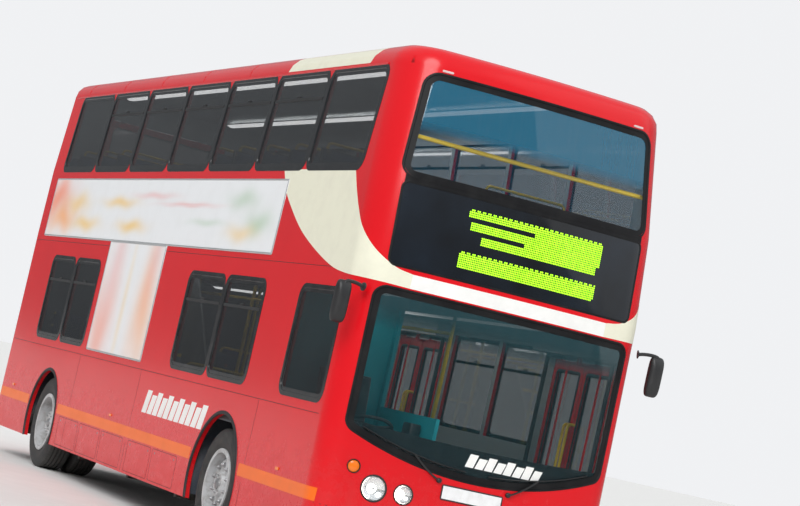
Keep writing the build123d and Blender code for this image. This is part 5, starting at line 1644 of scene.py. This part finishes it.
def pads(name, places, wide, deep, thick, paint, rise, flutes):
    """One piece of many like pads. Each place is a corner-free frame: its middle, forward and up
    directions. flutes gives the sewn lines' places across the pad, as shares of half its width."""
    top, low, (u, v) = pad_form(wide, deep, thick)
    groove = sum(np.exp(-(((v - f) / 0.035) ** 2)) for f in flutes)
    top = top + np.stack([0 * u, 0 * u, rise - 0.0045 * groove * (np.abs(u) < 0.93)], -1)
    n = PAD_POINTS
    ids = np.arange(n * n).reshape(n, n)
    inner = np.ones((n, n), bool)
    inner[[0, -1], :] = inner[:, [0, -1]] = False
    low_ids = ids.copy()
    low_ids[inner] = n * n + np.arange(inner.sum())
    under = quads(low_ids)[:, [0, 3, 2, 1]]
    form = np.vstack([top.reshape(-1, 3), low[inner]])
    faces = np.vstack([quads(ids), under])
    around = np.vstack([top.reshape(-1, 3)[:, :2], low[inner][:, :2]])
    verts, all_faces, cloth = [], [], []
    for i, (middle, forward, up) in enumerate(places):
        f, z = np.array(forward, float), np.array(up, float)
        f, z = f / np.linalg.norm(f), z / np.linalg.norm(z)
        across = np.cross(z, f)
        verts.append(np.array(middle) + form[:, :1] * f + form[:, 1:2] * across + form[:, 2:] * z)
        all_faces.append(faces + i * len(form))
        cloth.append(around + [0.37 * i, 0.23 * i])
    mesh = bpy.data.meshes.new(name)
    all_faces = np.vstack(all_faces)
    mesh.from_pydata(np.vstack(verts).tolist(), [], all_faces.tolist())
    cloth = np.vstack(cloth)
    layer = mesh.uv_layers.new(name="cloth")
    layer.uv.foreach_set("vector", cloth[all_faces.ravel()].ravel())
    o = finish_mesh(name, mesh)
    o.data.materials.append(paint)
    return o


PLACE_W, SQUAB_D, SQUAB_T, BACK_H, BACK_T = 0.418, 0.420, 0.082, 0.520, 0.066
squab_rise = blown(PLACE_W, SQUAB_D, SQUAB_T, 0.012)
back_rise = blown(PLACE_W, BACK_H, BACK_T, 0.010)
UPPER_DECK, LOWER_DECK, PLATFORM_DECK = 2.390, 0.360, 0.600
BACK_SLOPE = 0.110


def seat_places(rows):
    """Squab and back places of each pair or bench: the rows give the back's foot, the two sides,
    the deck, and the number of places across."""
    squabs, backs = [], []
    for xb, y0, y1, z, count in rows:
        pitch = (y1 - y0) / count
        for i in range(count):
            y = y0 + pitch * (i + 0.5)
            squabs.append(((xb + 0.2135, y, z + 0.3955), (1, 0, 0.02), (-0.02, 0, 1)))
            middle = np.array([xb - 0.3675 * BACK_SLOPE + 0.0005, y, z + 0.735])
            backs.append((middle, (-BACK_SLOPE, 0, 1), (1, 0, BACK_SLOPE)))
    return squabs, backs


upper_rows = [(x, -1.175, -0.315, UPPER_DECK, 2) for x in (3.35, 2.61, 1.87, 1.13, 0.39, -2.65, -3.39, -4.13)]
upper_rows += [(3.35 - 0.74 * k, 0.315, 1.175, UPPER_DECK, 2) for k in range(11)]
upper_rows.append((-4.87, -1.150, 1.150, UPPER_DECK, 5))
lower_rows = [
    (1.08, -1.185, -0.325, LOWER_DECK, 2),
    (-0.78, 0.325, 1.185, LOWER_DECK, 2),
    (-1.53, 0.325, 1.185, LOWER_DECK, 2),
    (-2.49, -1.185, -0.325, PLATFORM_DECK, 2),
    (-2.49, 0.325, 1.185, PLATFORM_DECK, 2),
    (-3.33, -1.195, -0.590, 0.655, 1),
    (-3.33, 0.590, 1.195, 0.655, 1),
    (-3.915, -1.150, 1.150, 0.660, 5),
]
wool = moquette("moquette_wool", (0.020, 0.045, 0.150), ((0.50, 0.015, 0.020), (0.62, 0.44, 0.06)))
for word, rows, node in (("upper", upper_rows, "cushions_upper"), ("lower", lower_rows, "cushions_lower")):
    squabs, backs = seat_places(rows)
    made = [
        pads("squabs", squabs, PLACE_W, SQUAB_D, SQUAB_T, wool, squab_rise, (-0.55, 0.55)),
        pads("backs", backs, PLACE_W, BACK_H, BACK_T, wool, back_rise, (-0.55, 0.55)),
    ]
    o = join("seat_pads_" + word, made, "bus_body")
    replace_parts(o, node)
    handles = []
    for xb, y0, y1, z, count in rows:
        if count != 2:
            continue
        aisle, wall = (y1, y0) if y1 < 0 else (y0, y1)
        feet = [(xb - 0.083, aisle + (wall - aisle) * share, z + 1.008) for share in (0.06, 0.94)]
        handles.append(grip("handle", *feet, (-0.006, 0, 0.055), 0.0125, 0.040))
    join("seat_handles_" + word, coat(handles, yellow_coat), "bus_body")

# Driver's seat: sewn pads of foam under dark cloth on a moulded pan, and a head restraint on two
# posts. A suspension base in a folded rubber gaiter is bolted to the cab floor.
driver_cloth = moquette("driver_cloth", (0.035, 0.037, 0.042), ((0.060, 0.065, 0.080), (0.045, 0.050, 0.060)))
BACK_WAYS = ((-0.151, 0, 1), (1, 0, 0.151))
# Columns: middle, forward and up directions, width, depth, thickness, rise, sewn lines
DRIVER_PADS = [
    ((4.100, -0.760, 0.958), ((1, 0, 0.05), (-0.05, 0, 1)), (0.470, 0.455, 0.095), squab_rise, (-0.62, 0.62)),
    ((3.873, -0.760, 1.320), BACK_WAYS, (0.455, 0.620, 0.085), back_rise, (-0.62, 0.62)),
    ((3.806, -0.760, 1.705), BACK_WAYS, (0.260, 0.150, 0.060), back_rise * 0.4, ()),
]
made = [
    pads("pad", [(middle, *ways)], *size, driver_cloth, rise, flutes)
    for middle, ways, size, rise, flutes in DRIVER_PADS
]
driver_pads = join("driver_seat_pads", made, "bus_body")
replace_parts(driver_pads, "driver_seat")


def stacked(name, path, shares, levels, turn=0):
    """A closed form of one outline, drawn in about its middle by each share at each level. A turn
    of 1 sets the levels along X in place of Z."""
    middle = path.mean(0)
    flat = middle + (path - middle) * np.array(shares)[:, None, None]
    p = points(flat[..., 0], flat[..., 1], np.array(levels)[:, None])
    return surface(name, np.roll(p, turn, -1), wrap_v=True, caps=True)


levels = [0.561, 0.600, 0.608, 0.640, 0.648, 0.680, 0.688, 0.720, 0.728, 0.760, 0.768, 0.800, 0.808, 0.858]
folds = [1.0, 1.0, 0.93, 0.93] * 3 + [1.0, 1.0]
gaiter = stacked("gaiter", rounded(3.900, 4.300, -0.900, -0.620, 0.050, 6, 0.1), folds, levels)
pan_path = rounded(3.870, 4.325, -0.990, -0.530, 0.060, 6, 0.1)
pan = stacked("pan", pan_path, (0.90, 1.0, 1.0, 0.97), (0.860, 0.875, 0.948, 0.954))
SPINE = [(3.885, -0.760, 0.900), (3.870, -0.760, 1.020), (3.832, -0.760, 1.300), (3.794, -0.760, 1.580)]
frame_parts = [tube("spine", SPINE, [0.045, 0.05, 0.05, 0.03], 16)]
frame_parts += [tube("post", [(3.808, y, 1.600), (3.792, y, 1.700)], 0.006) for y in (-0.82, -0.70)]
parts = coat([gaiter], black_rubber) + coat([pan], dash_plastic) + coat(frame_parts, dark_fitting)
o = join("driver_seat_base", parts, "bus_body")

# Cab instruments: a moulded hood with three round dials and its switches is screwed to the top
# of the dashboard, and a ticket machine stands beside it on the aisle side.
hood_y = np.linspace(-1.085, -0.435, 17)[:, None]
bow = 1 - ((hood_y + 0.760) / 0.325) ** 4
t = np.linspace(0, 1, 9)
hood_x = 4.660 + 0.190 * t
hood_z = 1.151 + (0.045 + 0.050 * np.sin(t * math.pi * 0.62)) * np.maximum(bow, 0.05) ** 0.6
hood = sheet("hood", points(hood_x, hood_y, hood_z), points(hood_x, hood_y, 1.1505))
parts = coat([hood], dash_plastic)
dial_face, tree, shader, place = begin("dial_face")
flecks = mapped(tree, noise(tree, place, 160.0, 2.0), 0.45, 0.6, 0, 1)
put(shader, "Base Color", mixed(tree, flecks, (0.02, 0.02, 0.022), (0.16, 0.20, 0.22)))
put(shader, "Roughness", 0.15)
# Columns: share of the dial's radius, distance that it stands out of the panel
DIAL = np.array([(0.02, 0.0015), (0.86, 0.0015), (0.90, 0.006), (1.0, 0.006), (1.0, -0.004)])
a = np.arange(28) * 2 * math.pi / 28
for y, r in ((-0.86, 0.052), (-0.66, 0.052), (-0.76, 0.030)):
    s = r * DIAL[:, :1]
    p = points(4.6585 - DIAL[:, 1:], y + s * np.cos(a), 1.172 + s * np.sin(a) * 0.8)
    parts += coat([surface("dial", p, wrap_v=True, caps=True)], dial_face)
for y in (-1.06, -0.99, -0.92, -0.50):
    outline = rounded(4.690, 4.730, y, y + 0.046, 0.006, 4, 0.02)
    parts.append(stacked("switch", outline, (1.0, 1.0, 0.9), (1.150, 1.162, 1.165)))
box_path = rounded(4.470, 4.640, -0.440, -0.345, 0.020, 5, 0.05)
parts.append(stacked("ticket", box_path, (0.96, 1.0, 1.0, 0.92), (1.100, 1.110, 1.330, 1.345)))
join("cab_instruments", coat(parts, moulding), "bus_body")

# Each pole stands between two turned flanges that are screwed to the floor and the ceiling. A
# yellow moulded case with a red stop button is clamped on it.
stop_red = rubber("stop_button_red", (0.55, 0.010, 0.010), 0.3)
# Columns: radius, height of the flange's outline from its foot; then the same of the button
FLANGE = np.array(
    [(0.0172, 0.030), (0.0200, 0.030), (0.0215, 0.008), (0.036, 0.004), (0.036, 0.0003), (0.0172, 0.0003)]
)
BUTTON = np.array([(0.017, 0.040), (0.017, 0.045), (0.012, 0.048)])
a = np.arange(20) * 2 * math.pi / 20


def flange(x, y, z, way):
    """A turned foot on a vertical pole: way is up or down along Z."""
    r = FLANGE[:, :1]
    p = points(x + r * np.cos(a), y + r * np.sin(a), z + way * FLANGE[:, 1:])
    return surface("flange", p, wrap_u=True, wrap_v=True)


parts = []
for x in (3.300, 1.560, 0.060, -1.650):
    for y in (0.330, -0.330):
        low = 0.480 if x < -1.6 else LOWER_DECK
        case_path = rounded(y - 0.028, y + 0.028, 1.290, 1.390, 0.012, 4, 0.02)
        depths = (x + 0.010, x + 0.036, x + 0.041)
        case = stacked("case", case_path, (1.0, 1.0, 0.90), depths, turn=1)
        r = BUTTON[:, :1]
        p = points(x + BUTTON[:, 1:], y + r * np.cos(a), 1.345 + r * np.sin(a))
        button = surface("button", p, wrap_v=True, caps=True)
        parts += [flange(x, y, low, 1), flange(x, y, 2.330, -1), case] + coat([button], stop_red)
join("pole_feet_and_stop_buttons", coat(parts, yellow_coat), "bus_body")

# Every stair has a nosing on its edge: a ribbed aluminium angle under yellow coating, screwed down
# over the tread and the riser.
ribs = np.c_[-np.linspace(0, 0.046, 13), 0.0022 + 0.0012 * (np.arange(13) % 2)]
riser, tread = [(0.0022, -0.030), (0.0022, 0.0015)], [(-0.047, 0.0002), (0.0002, 0.0002), (0.0002, -0.030)]
edge_x, edge_z = np.vstack([riser, ribs, tread]).T
STAIR_Y = np.array([[-1.180], [-0.565]])
parts = []
for k in range(8):
    z = LOWER_DECK + (UPPER_DECK - LOWER_DECK) / 9 * (k + 1)
    p = points(-0.060 - 0.230 * k + edge_x, STAIR_Y, z + edge_z)
    parts.append(surface("nosing", p, wrap_v=True, caps=True, smooth=False))
join("stair_nosings", coat(parts, yellow_coat), "bus_body")

# Two long lights run along the ceiling of each deck. Each has a frosted plastic cover, held
# between two aluminium edge bars that are screwed to the ceiling.
frosted, tree, shader, place = begin("frosted_light")
drift = mapped(tree, noise(tree, place, 8.0, 2.0), 0.3, 0.7, 0, 1)
soft = mixed(tree, drift, (0.95, 0.97, 1.0), (1.0, 1.0, 0.98))
put(shader, "Base Color", soft)
put(shader, "Emission Color", soft)
put(shader, "Emission Strength", 4.0)
put(shader, "Roughness", 0.5)
EDGE_BAR = np.array([(0.052, 0.0), (0.066, 0.0), (0.066, -0.012), (0.052, -0.008)])
a = np.linspace(math.pi, 2 * math.pi, 9)
parts = []
for z, ends in ((2.3300, (-3.90, 4.60)), (4.2050, (-4.70, 4.45))):
    x = np.linspace(*ends, 12)[:, None]
    for y in (-0.62, 0.62):
        p = points(x, y + 0.055 * np.cos(a), z + 0.030 * np.sin(a) - 0.001)
        parts += coat([surface("strip", p, wrap_v=True, caps=True)], frosted)
        for edge in (-1, 1):
            p = points(x, y + edge * EDGE_BAR[:, 0], z - 0.0005 + EDGE_BAR[:, 1])
            parts += coat([surface("rail", p, wrap_v=True, caps=True, smooth=False)], aluminium)
join("ceiling_lights", parts, "bus_body")

# The studio: a wide pale floor that runs out of sight and an even pale surround, which glossy
# surfaces see dark near the horizon, as they would a street. One broad soft key from over the
# camera's shoulder, a weaker fill, and the camera where the photograph was taken.
floor_mesh = bpy.data.meshes.new("studio_floor")
floor_mesh.from_pydata([(-150, -150, 0), (150, -150, 0), (150, 150, 0), (-150, 150, 0)], [], [(0, 1, 2, 3)])
floor_paper, tree, shader, place = begin("floor_paper")
grain = mapped(tree, noise(tree, place, 3.0, 6.0), 0.3, 0.7, 0.0, 1.0)
put(shader, "Base Color", mixed(tree, grain, (0.78, 0.78, 0.77), (0.82, 0.82, 0.81)))
put(shader, "Roughness", 0.7)
floor_mesh.materials.append(floor_paper)
studio_floor = bpy.data.objects.new("studio_floor", floor_mesh)
bpy.context.scene.collection.objects.link(studio_floor)

world = bpy.data.worlds.new("studio_world")
bpy.context.scene.world = world
world.use_nodes = True
sky = world.node_tree
rays = add(sky, "LightPath").outputs
direct = {0: rays["Is Camera Ray"], 1: rays["Is Transmission Ray"]}
share = add(sky, "Math", direct, operation="MAXIMUM")
lit = add(sky, "Background", {"Color": (1, 1, 1, 1), "Strength": 0.62})
shown = add(sky, "Background", {"Color": (0.97, 0.98, 1, 1), "Strength": 0.9})
climb = add(sky, "SeparateXYZ", {"Vector": add(sky, "TexCoord").outputs["Generated"]}).outputs["Z"]
brighter = mapped(sky, climb, -0.05, 0.75, 0.10, 0.85)
reflected = add(sky, "Background", {"Color": (0.90, 0.95, 1, 1), "Strength": brighter})
glossy = add(sky, "MixShader", {0: rays["Is Glossy Ray"], 1: lit.outputs[0], 2: reflected.outputs[0]})
both_skies = add(sky, "MixShader", {0: share.outputs[0], 1: glossy.outputs[0], 2: shown.outputs[0]})
sky.links.new(both_skies.outputs[0], sky.nodes["World Output"].inputs[0])

# Columns: name, direction the light travels, strength, angular size in degrees
LIGHTS = [("key_light", (-0.75, 0.62, -0.72), 1.9, 34), ("fill_light", (-0.5, -0.8, -0.6), 0.45, 60)]
for name, way, strength, spread in LIGHTS:
    sun = bpy.data.lights.new(name, "SUN")
    sun.energy = strength
    sun.angle = math.radians(spread)
    light = bpy.data.objects.new(name, sun)
    light.rotation_euler = Vector(way).to_track_quat("-Z", "Y").to_euler()
    light.location = (10, -10, 12)
    bpy.context.scene.collection.objects.link(light)

EYE = (22.256, -8.173, 1.416)
YAW, PITCH, ROLL = math.radians(157.435), math.radians(3.6), math.radians(12.794)
sight = Vector((math.cos(PITCH) * math.cos(YAW), math.cos(PITCH) * math.sin(YAW), math.sin(PITCH)))
right = sight.cross(Vector((0, 0, 1))).normalized()
up = right.cross(sight)
turned_right = right * math.cos(ROLL) + up * math.sin(ROLL)
turned_up = up * math.cos(ROLL) - right * math.sin(ROLL)
view = bpy.data.cameras.new("photo_view")
view.lens, view.sensor_width, view.clip_end = 110.4, 36, 500
camera = bpy.data.objects.new("photo_view", view)
axes = Matrix((turned_right, turned_up, -sight)).transposed().to_4x4()
camera.matrix_world = Matrix.Translation(EYE) @ axes
bpy.context.scene.collection.objects.link(camera)
bpy.context.scene.camera = camera
bpy.context.scene.view_settings.view_transform = "Standard"
